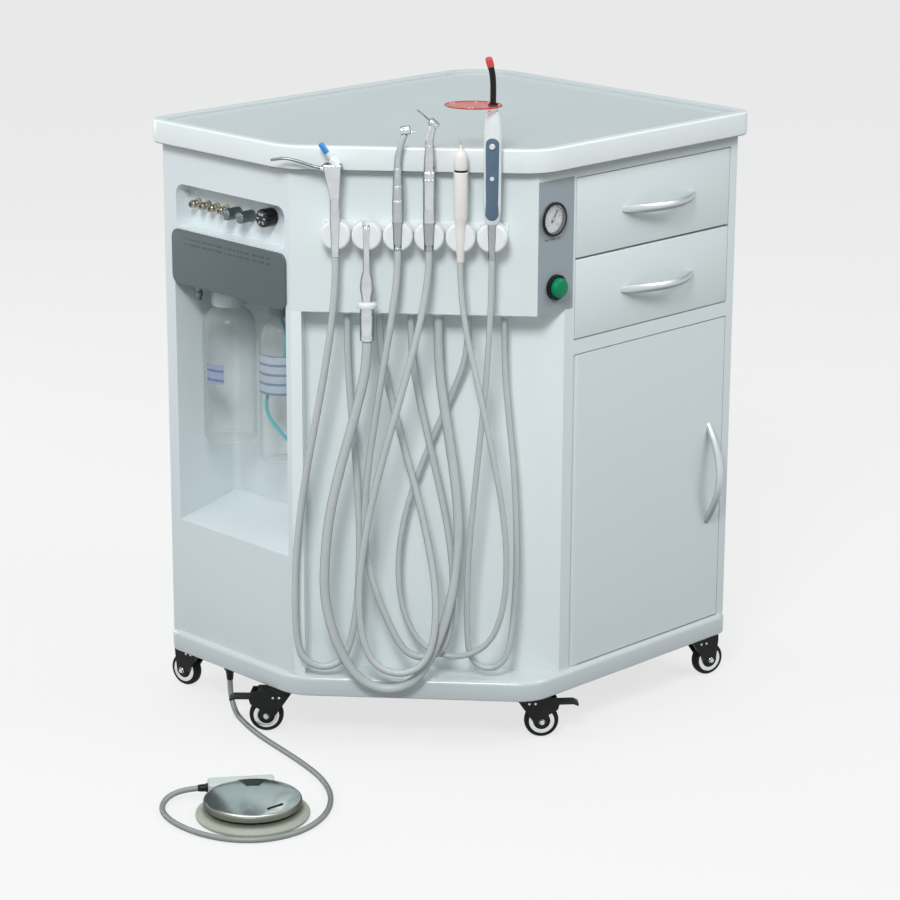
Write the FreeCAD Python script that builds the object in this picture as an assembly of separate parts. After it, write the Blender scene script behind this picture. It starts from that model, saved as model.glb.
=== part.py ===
import FreeCAD, Part

# Portable dental unit: a cabinet on five castors with two drawers, a door, a bottle bay and a delivery
# console that carries six instruments on hoses, and a foot control on the floor beside it.
# Millimetres, +Z up, floor at Z = 0. The drawers face -Y and the bottle bay faces -X.
# Every place below is measured from the cabinet's centre, and save() moves the whole unit so that the
# origin is the centre of its footprint, foot control included.
import math
import os
from FreeCAD import Vector

os.makedirs("parts", exist_ok=True)

# ---------------------------------------------------------------- driving dimensions
cabinet_x = 141.5  # the cabinet's centre, from the centre of the whole footprint
cabinet_y = 2.0

body_width = 644.0  # along X
body_depth = 528.0  # along Y
body_height = 738.0
cut_x = 225.0  # the front left corner is cut off by this much along X
cut_y = 258.0  # and by this much along Y
back_cut = 46.0  # the same, for the back right corner
castor_height = 70.0
plinth_height = 30.0
plinth_overhang = 8.0
worktop_thickness = 34.0
worktop_overhang = 16.0
worktop_corner = 24.0
rim_width = 17.0
rim_height = 6.0
sheet = 3.0  # thickness of the folded panels
board = 18.0  # thickness of the face frame and the partition
side_board = 12.0
vent_columns = 2
vent_rows = 6
vent_x = 60.0
vent_z = 180.0
vent_width = 70.0
vent_gap = 20.0
vent_pitch = 16.0
vent_slot = 6.0
inlet_x = -165.0
inlet_z = 160.0
inlet_width = 28.0
inlet_height = 20.0
inlet_depth = 18.0
inlet_wall = 3.0

# drawers and door, in the -Y face
console_face = 55.0  # the width that the console takes of this face
left_stile_width = 20.0
right_stile_width = 15.0
top_rail = 17.0
rail_top = 589.0
rail_height = 20.5
front_gap = 1.5
front_thickness = 16.0
drawer_depth = 390.0
drawer_wall = 3.0
drawer_box_lift = 10.0
drawer_headroom = 21.5  # from a drawer box's rim to the top of its front
slide_height = 35.0
slide_drop = 14.0  # the slides' foot, from the middle of the drawer front down
slide_steel = 1.2
slide_space = 13.0
slide_length = 380.0
slide_clearance = 0.4
carcass_depth = 430.0
pivot_pin_radius = 3.0
pivot_clearance = 0.05
pivot_pin_length = 12.0
handle_length = 158.0
handle_bow = 28.0
handle_height = 13.0
handle_thickness = 7.0
handle_foot = 13.0
handle_rounding = 2.2
handle_from_right = 155.0  # the middle of the drawers' handles, from the opening's right edge
handle_drop = 1.0  # the drawers' handles, from the middle of the drawer front down
door_handle_from_right = 30.0
door_handle_z = 331.0

# bottle bay, in the -X face
bay_wall = 4.0
bay_front = 3.0  # nearest and farthest Y of the opening
bay_back = 243.0
bay_depth = 111.0
bay_low_front = 276.0
bay_low_back = 300.0
bay_top = 706.0
bay_inner_front = 40.0
bay_slant_depth = 43.0
niche_front = 4.0
niche_back = 237.0
niche_bottom = 718.0
niche_top = 782.0
niche_radius = 16.0
niche_depth = 26.0
cover_front = 1.0
cover_back = 246.0
cover_bottom = 636.0
cover_top = 716.0
cover_radius = 13.0
cover_thickness = 3.0
head_plate_z = 640.0
head_plate_thickness = 8.0
bottle_inset = 57.0  # the bottles' axes, from the bay's mouth
bottle_wall = 1.6
fit_gap = 0.3
large_bottle_y = 192.0
large_bottle_radius = 39.0
large_neck_radius = 19.0
large_cap_radius = 25.0
large_bottle_bottom = 399.0
large_shoulder_z = 572.0
large_neck_z = 600.0
small_bottle_y = 80.0
small_bottle_radius = 31.0
small_neck_radius = 12.5
small_cap_radius = 16.0
small_bottle_bottom = 392.0
small_shoulder_z = 562.0
small_neck_z = 604.0
neck_height = 20.0
tube_radius = 2.6

# connectors and knobs in the niche
connector_z = 752.0
connector_ys = (216.0, 195.0, 175.0, 155.0)
connector_radius = 5.5
connector_length = 17.0
flow_knob_ys = (129.0, 100.0)
flow_knob_radius = 8.5
flow_knob_length = 27.0
flow_knob_ribs = 10
pressure_knob_y = 58.0
pressure_knob_z = 757.0
pressure_knob_radius = 13.0
pressure_knob_length = 22.0
knob_gap = 0.3

# console over the cut corner
console_bottom = 637.0
console_wall = 4.0
console_depth = 94.0
column_width = 15.0
fascia_overlap = 16.0  # how far the fascia lies over the left stile
fascia_top = 824.0
fascia_thickness = 4.0
gauge_inset = 28.0  # from the end of the cut corner
gauge_z = 770.0
gauge_radius = 24.0
gauge_case_radius = 21.0
gauge_proud = 6.0
button_inset = 35.0
button_z = 673.0
button_radius = 14.0
button_collar_radius = 17.5
button_collar_proud = 5.0
button_proud = 15.0
button_travel = 4.0
socket_length = 6.0

# instrument holders along the console's front
holder_z = 752.0
holder_radius = 20.7
holder_thickness = 29.0
holder_rail_thickness = 3.0
holder_rail_height = 30.0
first_holder = 66.5  # along the front, from its left end
holder_pitch = 42.8
instrument_out = 28.0  # from the console's front to an instrument's axis
hose_radius = 5.0
slim_hose_radius = 4.2  # of the scaler and the curing light
suction_hose_radius = 6.8
foot_hose_radius = 4.0

# castors
wheel_radius = 25.0
wheel_width = 18.0
castor_trail = 25.0
castor_plate = 38.0
castor_plate_thickness = 3.0
fork_steel = 3.0
axle_radius = 4.0
axle_clearance = 0.06
kingpin_radius = 6.0

# foot control
pedal_x = -545.0
pedal_y = -169.0
pedal_turn = -36.0
pedal_base_radius = 78.0
pedal_cover_radius = 67.0
pedal_rim_z = 22.0
pedal_dome = 12.0
pedal_travel = 3.5
pedal_post_radius = 9.0
pedal_box_left = -56.0
pedal_box_width = 92.0
pedal_box_front = 52.0
pedal_box_depth = 30.0
pedal_box_height = 24.0
foot_gland_length = 20.0
foot_gland_radius = 5.5

# ---------------------------------------------------------------- levels that follow
floor_z = castor_height + plinth_height
top_z = floor_z + body_height
half_w = body_width / 2
half_d = body_depth / 2
front_y = -half_d
left_x = -half_w
frame_left = left_x + cut_x + console_face
opening_left = frame_left + left_stile_width
opening_right = half_w - right_stile_width
handle_x = opening_right - handle_from_right
door_handle_x = opening_right - door_handle_from_right
fascia_right = frame_left + fascia_overlap
gauge_x = left_x + cut_x + gauge_inset
button_x = left_x + cut_x + button_inset
bottle_x = left_x + bottle_inset
drawers_top = top_z - top_rail
rail_bottom = rail_top - rail_height
drawer_split = (rail_top + drawers_top) / 2
drawer_box_height = drawer_split - rail_top - drawer_box_lift - drawer_headroom


# ---------------------------------------------------------------- plan outlines and the cut corner
def offset_outline(points, distance):
    """A closed anticlockwise outline moved outwards by distance, with its corners kept sharp."""
    count = len(points)
    moved = []
    for i in range(count):
        before, here, after = points[i - 1], points[i], points[(i + 1) % count]
        d1 = Vector(here[0] - before[0], here[1] - before[1], 0).normalize()
        d2 = Vector(after[0] - here[0], after[1] - here[1], 0).normalize()
        n1 = Vector(d1.y, -d1.x, 0)
        n2 = Vector(d2.y, -d2.x, 0)
        stretch = distance / (1 + n1.dot(n2))
        moved.append((here[0] + (n1.x + n2.x) * stretch, here[1] + (n1.y + n2.y) * stretch))
    return moved


body_plan = [
    (left_x, half_d),
    (left_x, front_y + cut_y),
    (left_x + cut_x, front_y),
    (half_w, front_y),
    (half_w, half_d - back_cut),
    (half_w - back_cut, half_d),
]
cut_start = Vector(left_x, front_y + cut_y, 0)
cut_end = Vector(left_x + cut_x, front_y, 0)
along = (cut_end - cut_start).normalize()
outward = Vector(along.y, -along.x, 0)
up = Vector(0, 0, 1)
front_angle = math.degrees(math.atan2(along.y, along.x))


def at_front(distance, out, z):
    """The point this far along the cut corner's front, this far out of it, at height z."""
    return cut_start + along * distance + outward * out + up * z


# ---------------------------------------------------------------- shape helpers
def save(node, *solids):
    """Writes one node as a STEP file, at its place from the centre of the whole footprint."""
    shape = solids[0] if len(solids) == 1 else Part.makeCompound(list(solids))
    shape = shape.copy()
    shape.translate(Vector(cabinet_x, cabinet_y, 0))
    for solid in shape.Solids:
        if not solid.isValid():
            print("not valid:", node)
    if not shape.Solids:
        print("no solid:", node)
    shape.exportStep(os.path.join("parts", node + ".step"))


def block(x0, x1, y0, y1, z0, z1):
    return Part.makeBox(x1 - x0, y1 - y0, z1 - z0, Vector(x0, y0, z0))


def rod(start, direction, radius, length):
    return Part.makeCylinder(radius, length, start, direction)


def corner_arc(before, here, after, reach):
    """Start, middle and end of the arc that rounds the corner at here, touching its sides reach away."""
    inward = (before - here).normalize()
    onward = (after - here).normalize()
    half_turn = (math.pi - inward.getAngle(onward)) / 2
    radius = reach / math.tan(half_turn)
    middle = here + (inward + onward).normalize() * (radius / math.cos(half_turn) - radius)
    return here + inward * reach, middle, here + onward * reach, radius


def rounded_wire(points, radius):
    """A closed wire through the points, its corners rounded to radius."""
    edges = []
    arcs = []
    for i in range(len(points)):
        before, here, after = points[i - 1], points[i], points[(i + 1) % len(points)]
        turn = math.pi - (before - here).getAngle(after - here)
        arcs.append(corner_arc(before, here, after, radius * math.tan(turn / 2)))
    for i, (start, middle, end, size) in enumerate(arcs):
        edges.append(Part.Arc(start, middle, end).toShape())
        following = arcs[(i + 1) % len(arcs)][0]
        if (following - end).Length > 1e-6:
            edges.append(Part.LineSegment(end, following).toShape())
    return Part.Wire(edges)


def prism(outline, z0, z1, radius=0.0):
    """An upright prism on a plan outline, its upright edges rounded to radius."""
    points = [Vector(x, y, z0) for x, y in outline]
    wire = rounded_wire(points, radius) if radius else Part.makePolygon(points + points[:1])
    return Part.Face(wire).extrude(Vector(0, 0, z1 - z0))


def side_prism(y0, y1, z0, z1, x0, x1, radius):
    """A block along X whose four long edges are rounded."""
    points = [Vector(x0, y0, z0), Vector(x0, y1, z0), Vector(x0, y1, z1), Vector(x0, y0, z1)]
    return Part.Face(rounded_wire(points, radius)).extrude(Vector(x1 - x0, 0, 0))


def folded_sheet(points, thickness, z0, z1):
    """An upright folded sheet whose outer face runs through the points and whose metal lies to their left."""
    inner = []
    for i, (x, y) in enumerate(points):
        before = points[max(i - 1, 0)]
        after = points[min(i + 1, len(points) - 1)]
        sides = []
        for a, b in ((before, (x, y)), ((x, y), after)):
            if a != b:
                d = Vector(b[0] - a[0], b[1] - a[1], 0).normalize()
                sides.append(Vector(-d.y, d.x, 0))
        n1, n2 = sides[0], sides[-1]
        stretch = thickness / (1 + n1.dot(n2))
        inner.append((x + (n1.x + n2.x) * stretch, y + (n1.y + n2.y) * stretch))
    return prism(points + inner[::-1], z0, z1)


def turned(profile, foot=Vector(0, 0, 0), axis=Vector(0, 0, 1)):
    """A solid of revolution from (radius, height) points, standing on foot along axis."""
    points = [Vector(r, 0, h) for r, h in profile]
    solid = Part.Face(Part.makePolygon(points + points[:1])).revolve(Vector(0, 0, 0), Vector(0, 0, 1), 360)
    solid.Placement = FreeCAD.Placement(foot, FreeCAD.Rotation(Vector(0, 0, 1), axis))
    return solid


def tube(points, radius, name=""):
    """A round tube along straight runs joined by the largest arcs that each pair of runs allows."""
    edges = []
    radii = []
    last = points[0]
    for i in range(1, len(points) - 1):
        before, here, after = points[i - 1], points[i], points[i + 1]
        reach = 0.45 * min((here - before).Length, (after - here).Length)
        start, middle, end, size = corner_arc(before, here, after, reach)
        edges.append(Part.LineSegment(last, start).toShape())
        edges.append(Part.Arc(start, middle, end).toShape())
        radii.append(size)
        last = end
    edges.append(Part.LineSegment(last, points[-1]).toShape())
    path = Part.Wire(edges)
    section = Part.Wire(Part.makeCircle(radius, points[0], points[1] - points[0]))
    solid = path.makePipeShell([section], True, False)
    if name:
        share = solid.Volume / (math.pi * radius**2 * path.Length)
        print(f"{name}: {path.Length:.0f} mm long, volume ratio {share:.3f}, radii "
              + " ".join(f"{r:.0f}" for r in radii))
    return solid


def bow_handle(length, bow):
    """A bow handle along X on the plane Y = 0, standing out towards -Y, centred on the origin."""
    outer = length / 2
    inner = outer - handle_foot
    low = Vector(0, 0, -handle_height / 2)
    outside = Part.Arc(Vector(-outer, 0, 0) + low, Vector(0, -bow, 0) + low, Vector(outer, 0, 0) + low)
    inside = Part.Arc(Vector(inner, 0, 0) + low, Vector(0, handle_thickness - bow, 0) + low,
                      Vector(-inner, 0, 0) + low)
    edges = [
        outside.toShape(),
        Part.LineSegment(Vector(outer, 0, 0) + low, Vector(inner, 0, 0) + low).toShape(),
        inside.toShape(),
        Part.LineSegment(Vector(-inner, 0, 0) + low, Vector(-outer, 0, 0) + low).toShape(),
    ]
    bar = Part.Face(Part.Wire(edges)).extrude(Vector(0, 0, handle_height))
    rims = [e for e in bar.Edges if e.BoundBox.YMin < -1 and e.BoundBox.ZLength < 0.1]
    return bar.makeFillet(handle_rounding, rims)


def moved(shape, x=0.0, y=0.0, z=0.0):
    shape = shape.copy()
    shape.translate(Vector(x, y, z))
    return shape


def at_cut(shape, distance, out=0.0, z=0.0):
    """A shape drawn about the origin, with X along the cut corner's front, brought to that place."""
    shape = shape.copy()
    shape.rotate(Vector(0, 0, 0), up, front_angle)
    shape.translate(at_front(distance, out, z))
    return shape


# ---------------------------------------------------------------- worktop and plinth
def make_worktop():
    outline = offset_outline(body_plan, worktop_overhang)
    solid = prism(outline, top_z, top_z + worktop_thickness, worktop_corner)
    upper = [e for e in solid.Edges if e.BoundBox.ZMin > top_z + worktop_thickness - 0.1]
    lower = [e for e in solid.Edges if e.BoundBox.ZMax < top_z + 0.1]
    solid = solid.makeFillet(6.0, upper)
    lower = [e for e in solid.Edges if e.BoundBox.ZMax < top_z + 0.1]
    solid = solid.makeFillet(4.0, lower)
    tray_outline = offset_outline(body_plan, worktop_overhang - rim_width)
    tray_z = top_z + worktop_thickness - rim_height
    tray = prism(tray_outline, tray_z, tray_z + 2 * rim_height, worktop_corner - rim_width / 2)
    return solid.cut(tray)


def make_plinth():
    outline = offset_outline(body_plan, plinth_overhang)
    solid = prism(outline, castor_height, floor_z, worktop_corner)
    upper = [e for e in solid.Edges if e.BoundBox.ZMin > floor_z - 0.1]
    solid = solid.makeFillet(plinth_overhang - 0.5, upper)
    lower = [e for e in solid.Edges if e.BoundBox.ZMax < castor_height + 0.1]
    return solid.makeFillet(3.0, lower)


# the gland under the plinth that takes the foot control's hose
foot_gland = Vector(left_x + 4, half_d - 122, 0)


def make_gland():
    length = foot_gland_length
    return turned([(0, 0), (foot_gland_radius + 3, 0), (foot_gland_radius + 3, 4), (foot_gland_radius, 5),
                   (foot_hose_radius + 0.8, length), (0, length)], foot_gland + up * castor_height, up * -1)


save("worktop", make_worktop())
save("base_plinth", make_plinth(), make_gland())


# ---------------------------------------------------------------- panels
# the centre panel lies this far behind the console's front, and ends at the face frame
centre_setback = outward.dot(cut_start - Vector(frame_left, front_y, 0))


def make_wrapper():
    """The back and the right side: one folded sheet with two rows of vent slots and a cable inlet."""
    points = [
        (half_w, front_y + board),
        (half_w, half_d - back_cut),
        (half_w - back_cut, half_d),
        (left_x + bay_wall, half_d),
    ]
    panel = folded_sheet(points, sheet, floor_z, top_z)
    for column in range(vent_columns):
        for row in range(vent_rows):
            x0 = vent_x + column * (vent_width + vent_gap)
            z0 = vent_z + row * vent_pitch
            panel = panel.cut(block(x0, x0 + vent_width, half_d - 2 * sheet, half_d + sheet, z0,
                                    z0 + vent_slot))
    return panel.cut(inlet_space())


def inlet_space():
    """The socket of the power inlet, open to the back."""
    return block(inlet_x - inlet_width / 2, inlet_x + inlet_width / 2, half_d - inlet_depth, half_d + sheet,
                 inlet_z - inlet_height / 2, inlet_z + inlet_height / 2)


def make_inlet():
    """The power inlet's body, face to face with the back panel's inside."""
    wall = inlet_wall
    body = block(inlet_x - inlet_width / 2 - wall, inlet_x + inlet_width / 2 + wall,
                 half_d - inlet_depth - 2 * wall, half_d - sheet,
                 inlet_z - inlet_height / 2 - wall, inlet_z + inlet_height / 2 + wall)
    return body.cut(inlet_space())


save("wrapper_panel", make_wrapper(), make_inlet())


def make_centre_panel():
    """The set-back centre panel and the narrow column beside the bottle bay, one folded sheet."""
    corner = at_front(column_width, 0, 0)
    inner = at_front(column_width, -centre_setback, 0)
    points = [
        (cut_start.x, cut_start.y),
        (corner.x, corner.y),
        (inner.x, inner.y),
        (frame_left, front_y),
    ]
    panel = folded_sheet(points, sheet, floor_z, console_bottom)
    return panel.cut(block(frame_left, frame_left + 20, front_y - 1, front_y + 20, floor_z, console_bottom))


save("centre_panel", make_centre_panel())


# ---------------------------------------------------------------- carcass of the drawer side
def slide_channel(side):
    """The fixed channel of a drawer slide on one side wall: side is 1 on the left and -1 on the right."""
    wall = opening_left if side > 0 else opening_right
    depth = slide_space - 3.0
    half = slide_height / 2
    y0 = front_y + front_thickness + 4
    outer = block(0, depth, y0, y0 + slide_length, -half, half)
    inner = block(slide_steel, depth + 1, y0 - 1, y0 + slide_length + 1, slide_steel - half,
                  half - slide_steel)
    channel = outer.cut(inner)
    if side < 0:
        channel = channel.mirror(Vector(0, 0, 0), Vector(1, 0, 0))
    return moved(channel, wall)


def slide_bar(side):
    """The moving member of a drawer slide, inside the fixed channel and screwed to the drawer's side."""
    wall = opening_left if side > 0 else opening_right
    half = slide_height / 2 - slide_steel - slide_clearance
    x0 = slide_steel + slide_clearance
    y0 = front_y + front_thickness + 4
    outer = block(x0, slide_space, y0, y0 + slide_length, -half, half)
    inner = block(x0 - 1, slide_space - 2.5, y0 - 1, y0 + slide_length + 1, 2.5 - half, half - 2.5)
    bar = outer.cut(inner)
    if side < 0:
        bar = bar.mirror(Vector(0, 0, 0), Vector(1, 0, 0))
    return moved(bar, wall)


drawers = {
    "upper": (drawer_split, drawers_top, (drawer_split + drawers_top) / 2 - handle_drop),
    "lower": (rail_top, drawer_split, (rail_top + drawer_split) / 2 - handle_drop),
}
hinge_x = opening_left + front_gap + board / 2
hinge_y = front_y + board / 2
door_bottom = floor_z + 2.0
door_top = rail_bottom - front_gap


def make_front_frame():
    y1 = front_y + board
    back_y = y1 + carcass_depth
    left_stile = block(frame_left, opening_left, front_y, y1, floor_z, top_z)
    fascia_seat = block(frame_left - 1, fascia_right, front_y - 1, front_y + fascia_thickness,
                        console_bottom, fascia_top)
    left_stile = left_stile.cut(fascia_seat)
    solids = [
        left_stile,
        block(opening_right, half_w, front_y, y1, floor_z, top_z),
        block(opening_left, opening_right, front_y, y1, drawers_top, top_z),
        block(opening_left, opening_right, front_y, y1, rail_bottom, rail_top),
        block(opening_left - board, opening_left, y1, back_y, floor_z, top_z),
        block(opening_right, opening_right + side_board, y1, back_y, floor_z, top_z),
        block(opening_left, opening_right, y1, back_y, rail_bottom + 2, rail_top - 2),
        block(opening_left, opening_right, y1 + 3, back_y, floor_z, floor_z + side_board),
    ]
    for low, high, handle in drawers.values():
        for side in (1, -1):
            solids.append(moved(slide_channel(side), z=(low + high) / 2 - slide_drop))
    bracket = block(opening_left, hinge_x + 8, hinge_y - 8, hinge_y + 8, floor_z, floor_z + 1.5)
    lower_pin = rod(Vector(hinge_x, hinge_y, floor_z + 1.5), up, pivot_pin_radius, pivot_pin_length)
    upper_pin = rod(Vector(hinge_x, hinge_y, rail_bottom), up * -1, pivot_pin_radius, pivot_pin_length)
    solids.append(bracket.fuse(lower_pin))
    solids.append(upper_pin)
    return solids


save("front_frame", *make_front_frame())


# ---------------------------------------------------------------- drawers and door
def make_drawer(low, high):
    z0 = low + front_gap
    z1 = high - front_gap
    y1 = front_y + front_thickness
    front = block(opening_left + front_gap, opening_right - front_gap, front_y, y1, z0, z1)
    x0 = opening_left + slide_space
    x1 = opening_right - slide_space
    low_z = low + drawer_box_lift
    box = block(x0, x1, y1, y1 + drawer_depth, low_z, low_z + drawer_box_height)
    hollow = block(x0 + drawer_wall, x1 - drawer_wall, y1 + drawer_wall, y1 + drawer_depth - drawer_wall,
                   low_z + drawer_wall, low_z + drawer_box_height + 1)
    return front.fuse(box.cut(hollow)).removeSplitter()


for name, (low, high, handle_z) in drawers.items():
    bars = [moved(slide_bar(side), z=(low + high) / 2 - slide_drop) for side in (1, -1)]
    save("drawer_" + name, make_drawer(low, high), *bars)
    save("drawer_handle_" + name, moved(bow_handle(handle_length, handle_bow), handle_x, front_y, handle_z))


def make_door():
    """A flat leaf whose hinged edge is rounded about the pivot, so that it turns clear of the stile."""
    leaf = block(hinge_x, opening_right - front_gap, front_y, front_y + board, door_bottom, door_top)
    edge = rod(Vector(hinge_x, hinge_y, door_bottom), up, board / 2, door_top - door_bottom)
    leaf = leaf.fuse(edge).removeSplitter()
    bore = pivot_pin_radius + pivot_clearance
    depth = pivot_pin_length + 1
    leaf = leaf.cut(rod(Vector(hinge_x, hinge_y, door_bottom - 1), up, bore, depth + 1))
    return leaf.cut(rod(Vector(hinge_x, hinge_y, door_top - depth), up, bore, depth + 1))


save("door", make_door())
door_handle = bow_handle(handle_length, handle_bow)
door_handle.rotate(Vector(0, 0, 0), Vector(0, 1, 0), 90)
save("door_handle", moved(door_handle, door_handle_x, front_y, door_handle_z))


# ---------------------------------------------------------------- bottle bay
bay_floor_slope = (bay_low_back - bay_low_front) / bay_depth


def bay_void(grow):
    """The space of the bottle bay, or with grow the outside of its liner."""
    slant_x = left_x + bay_slant_depth
    back_x = left_x + bay_depth + grow
    mouth_x = left_x - 1 if not grow else left_x
    plan = [
        (mouth_x, bay_back + grow),
        (mouth_x, bay_front - grow),
        (slant_x, bay_inner_front - grow),
        (back_x, bay_inner_front - grow),
        (back_x, bay_back + grow),
    ]
    column = prism(plan, bay_low_front - 40, bay_top + grow)
    upright = [e for e in column.Edges if abs(e.tangentAt(e.FirstParameter).z) > 0.9
               and e.BoundBox.XMin > back_x - 1]
    column = column.makeFillet(12.0 + grow, upright)
    y0 = bay_front - 60
    drop = bay_floor_slope * 20
    points = [
        Vector(left_x - 20, y0, bay_low_front - drop - grow),
        Vector(back_x + 20, y0, bay_low_back + drop + bay_floor_slope * grow - grow),
        Vector(back_x + 20, y0, bay_low_front - 100),
        Vector(left_x - 20, y0, bay_low_front - 100),
    ]
    below = Part.Face(Part.makePolygon(points + points[:1])).extrude(Vector(0, bay_back - y0 + 60, 0))
    return column.cut(below)


def make_bottle_bay():
    """The left side: one moulding with the bottle bay and the connector niche pressed into it."""
    mitre = bay_wall * (outward.y / outward.x)
    skin = prism([
        (left_x, half_d),
        (left_x, cut_start.y),
        (left_x + bay_wall, cut_start.y + mitre),
        (left_x + bay_wall, half_d),
    ], floor_z, top_z)
    liner = bay_void(bay_wall)
    niche_outer = side_prism(niche_front - bay_wall, niche_back + bay_wall, niche_bottom - bay_wall,
                             niche_top + bay_wall, left_x, left_x + niche_depth + bay_wall,
                             niche_radius + bay_wall)
    niche = side_prism(niche_front, niche_back, niche_bottom, niche_top, left_x - 1,
                       left_x + niche_depth, niche_radius)
    solid = skin.fuse([liner, niche_outer])
    return solid.cut(bay_void(0)).cut(niche).removeSplitter()


save("bottle_bay", make_bottle_bay())


def bottle(radius, bottom, shoulder, neck_z, neck_radius, y):
    """A blown bottle with a rounded foot, a domed shoulder and a plain neck."""
    wall = bottle_wall
    rise = neck_z - shoulder
    outer = [(0, bottom + 4), (radius * 0.55, bottom + 4), (radius * 0.7, bottom), (radius * 0.88, bottom),
             (radius, bottom + 8), (radius, shoulder), (radius * 0.93, shoulder + rise * 0.4),
             (radius * 0.74, shoulder + rise * 0.75), (neck_radius, neck_z), (neck_radius, neck_z + neck_height)]
    inner = [(neck_radius - wall, neck_z + neck_height), (neck_radius - wall, neck_z - wall),
             (radius * 0.74 - wall, shoulder + rise * 0.75 - wall), (radius * 0.93 - wall, shoulder + rise * 0.4),
             (radius - wall, shoulder), (radius - wall, bottom + 8), (radius * 0.88, bottom + wall + 1),
             (radius * 0.7, bottom + wall + 1), (radius * 0.55, bottom + 4 + wall), (0, bottom + 4 + wall)]
    return turned(outer + inner, Vector(bottle_x, y, 0))


large = bottle(large_bottle_radius, large_bottle_bottom, large_shoulder_z, large_neck_z,
               large_neck_radius, large_bottle_y)
small = bottle(small_bottle_radius, small_bottle_bottom, small_shoulder_z, small_neck_z,
               small_neck_radius, small_bottle_y)
save("large_bottle", large)
save("small_bottle", small)


def bottle_head(cap_radius, neck_radius, neck_z, y):
    """A screw head fixed under the head plate, over a bottle's neck."""
    low = neck_z + 2
    top_of_neck = neck_z + neck_height
    profile = [(neck_radius + fit_gap, low), (cap_radius, low), (cap_radius, head_plate_z), (0, head_plate_z),
               (0, top_of_neck + fit_gap), (neck_radius + fit_gap, top_of_neck + fit_gap)]
    return turned(profile, Vector(bottle_x, y, 0))


def make_bottle_panel():
    """The dark cover over the top of the bay, and behind it the plate with the two bottle heads."""
    cover = side_prism(cover_front, cover_back, cover_bottom, cover_top, left_x - cover_thickness, left_x,
                       cover_radius)
    front_edge = [e for e in cover.Edges if e.BoundBox.XMax < left_x - cover_thickness + 0.1]
    cover = cover.makeFillet(1.2, front_edge)
    plate = block(left_x, left_x + bay_depth, bay_inner_front, bay_back - 0.3, head_plate_z,
                  head_plate_z + head_plate_thickness)
    plate = plate.common(bay_void(0))
    relief = turned([(0, 0), (5, 0), (6.5, 2), (6.5, 30), (0, 30)],
                    Vector(left_x + 22, bay_back - 25, head_plate_z - 30))
    return [cover, plate, relief,
            bottle_head(large_cap_radius, large_neck_radius, large_neck_z, large_bottle_y),
            bottle_head(small_cap_radius, small_neck_radius, small_neck_z, small_bottle_y)]


save("bottle_panel", *make_bottle_panel())

# ---------------------------------------------------------------- connectors and knobs in the niche
niche_x = left_x + niche_depth
towards_left = Vector(-1, 0, 0)


def quick_connector(y):
    r = connector_radius
    profile = [(0, 0), (r * 1.25, 0), (r * 1.25, 4), (r * 0.8, 4), (r * 0.8, 7), (r, 7),
               (r, connector_length - 1), (r - 1, connector_length), (r * 0.45, connector_length),
               (r * 0.45, 9), (0, 9)]
    return turned(profile, Vector(niche_x, y, connector_z), towards_left)


def ribbed_knob(radius, length, ribs):
    """A round knob along +Z with grip grooves, standing a running gap off the wall behind it."""
    knob = turned([(0, knob_gap), (radius - 1, knob_gap), (radius, 1.5), (radius, length - 2),
                   (radius - 2, length), (0, length)])
    for i in range(ribs):
        angle = 2 * math.pi * i / ribs
        centre = Vector(radius * math.cos(angle), radius * math.sin(angle), length * 0.3)
        knob = knob.cut(rod(centre, up, radius * 0.14, length))
    return knob


def on_niche(knob, y, z):
    knob.Placement = FreeCAD.Placement(Vector(niche_x, y, z), FreeCAD.Rotation(up, towards_left))
    return knob


save("quick_connectors", *[quick_connector(y) for y in connector_ys])
save("flow_knob_left", on_niche(ribbed_knob(flow_knob_radius, flow_knob_length, flow_knob_ribs),
                                flow_knob_ys[0], connector_z))
save("flow_knob_right", on_niche(ribbed_knob(flow_knob_radius, flow_knob_length, flow_knob_ribs),
                                 flow_knob_ys[1], connector_z))
save("pressure_knob", on_niche(ribbed_knob(pressure_knob_radius, pressure_knob_length, 12),
                               pressure_knob_y, pressure_knob_z))


# ---------------------------------------------------------------- console
def make_console():
    """The moulded console: a shell that is open at the top under the worktop, with six hose sockets."""
    back_a = at_front(0, -console_depth, 0)
    back_x = back_a.x + (back_a.y - cut_start.y) * outward.y / along.y
    line = outward.dot(cut_start) - console_depth
    left_back_x = (line - outward.y * cut_start.y) / outward.x
    right_back_y = (line - outward.x * frame_left) / outward.y
    plan = [
        (cut_start.x, cut_start.y),
        (cut_end.x, cut_end.y),
        (frame_left, front_y),
        (frame_left, right_back_y),
        (left_back_x, cut_start.y),
    ]
    shell = prism(plan, console_bottom, top_z)
    hollow = prism(offset_outline(plan, -console_wall), console_bottom + console_wall, top_z + 1)
    shell = shell.cut(hollow)
    seat = block(cut_end.x, frame_left + 1, front_y - 1, front_y + fascia_thickness, console_bottom - 1,
                 fascia_top)
    shell = shell.cut(seat)
    gauge_hole = rod(Vector(gauge_x, front_y - 1, gauge_z), Vector(0, 1, 0), gauge_case_radius + 1, 20)
    button_hole = rod(Vector(button_x, front_y - 1, button_z), Vector(0, 1, 0), button_radius + 1, 20)
    return shell.cut(gauge_hole).cut(button_hole)


def hose_socket(distance, out, radius):
    profile = [(0, 0), (radius + 2, 0), (radius + 2, -socket_length * 0.6), (radius + 1, -socket_length),
               (0, -socket_length)]
    return turned(profile, at_front(distance, out, console_bottom))


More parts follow.
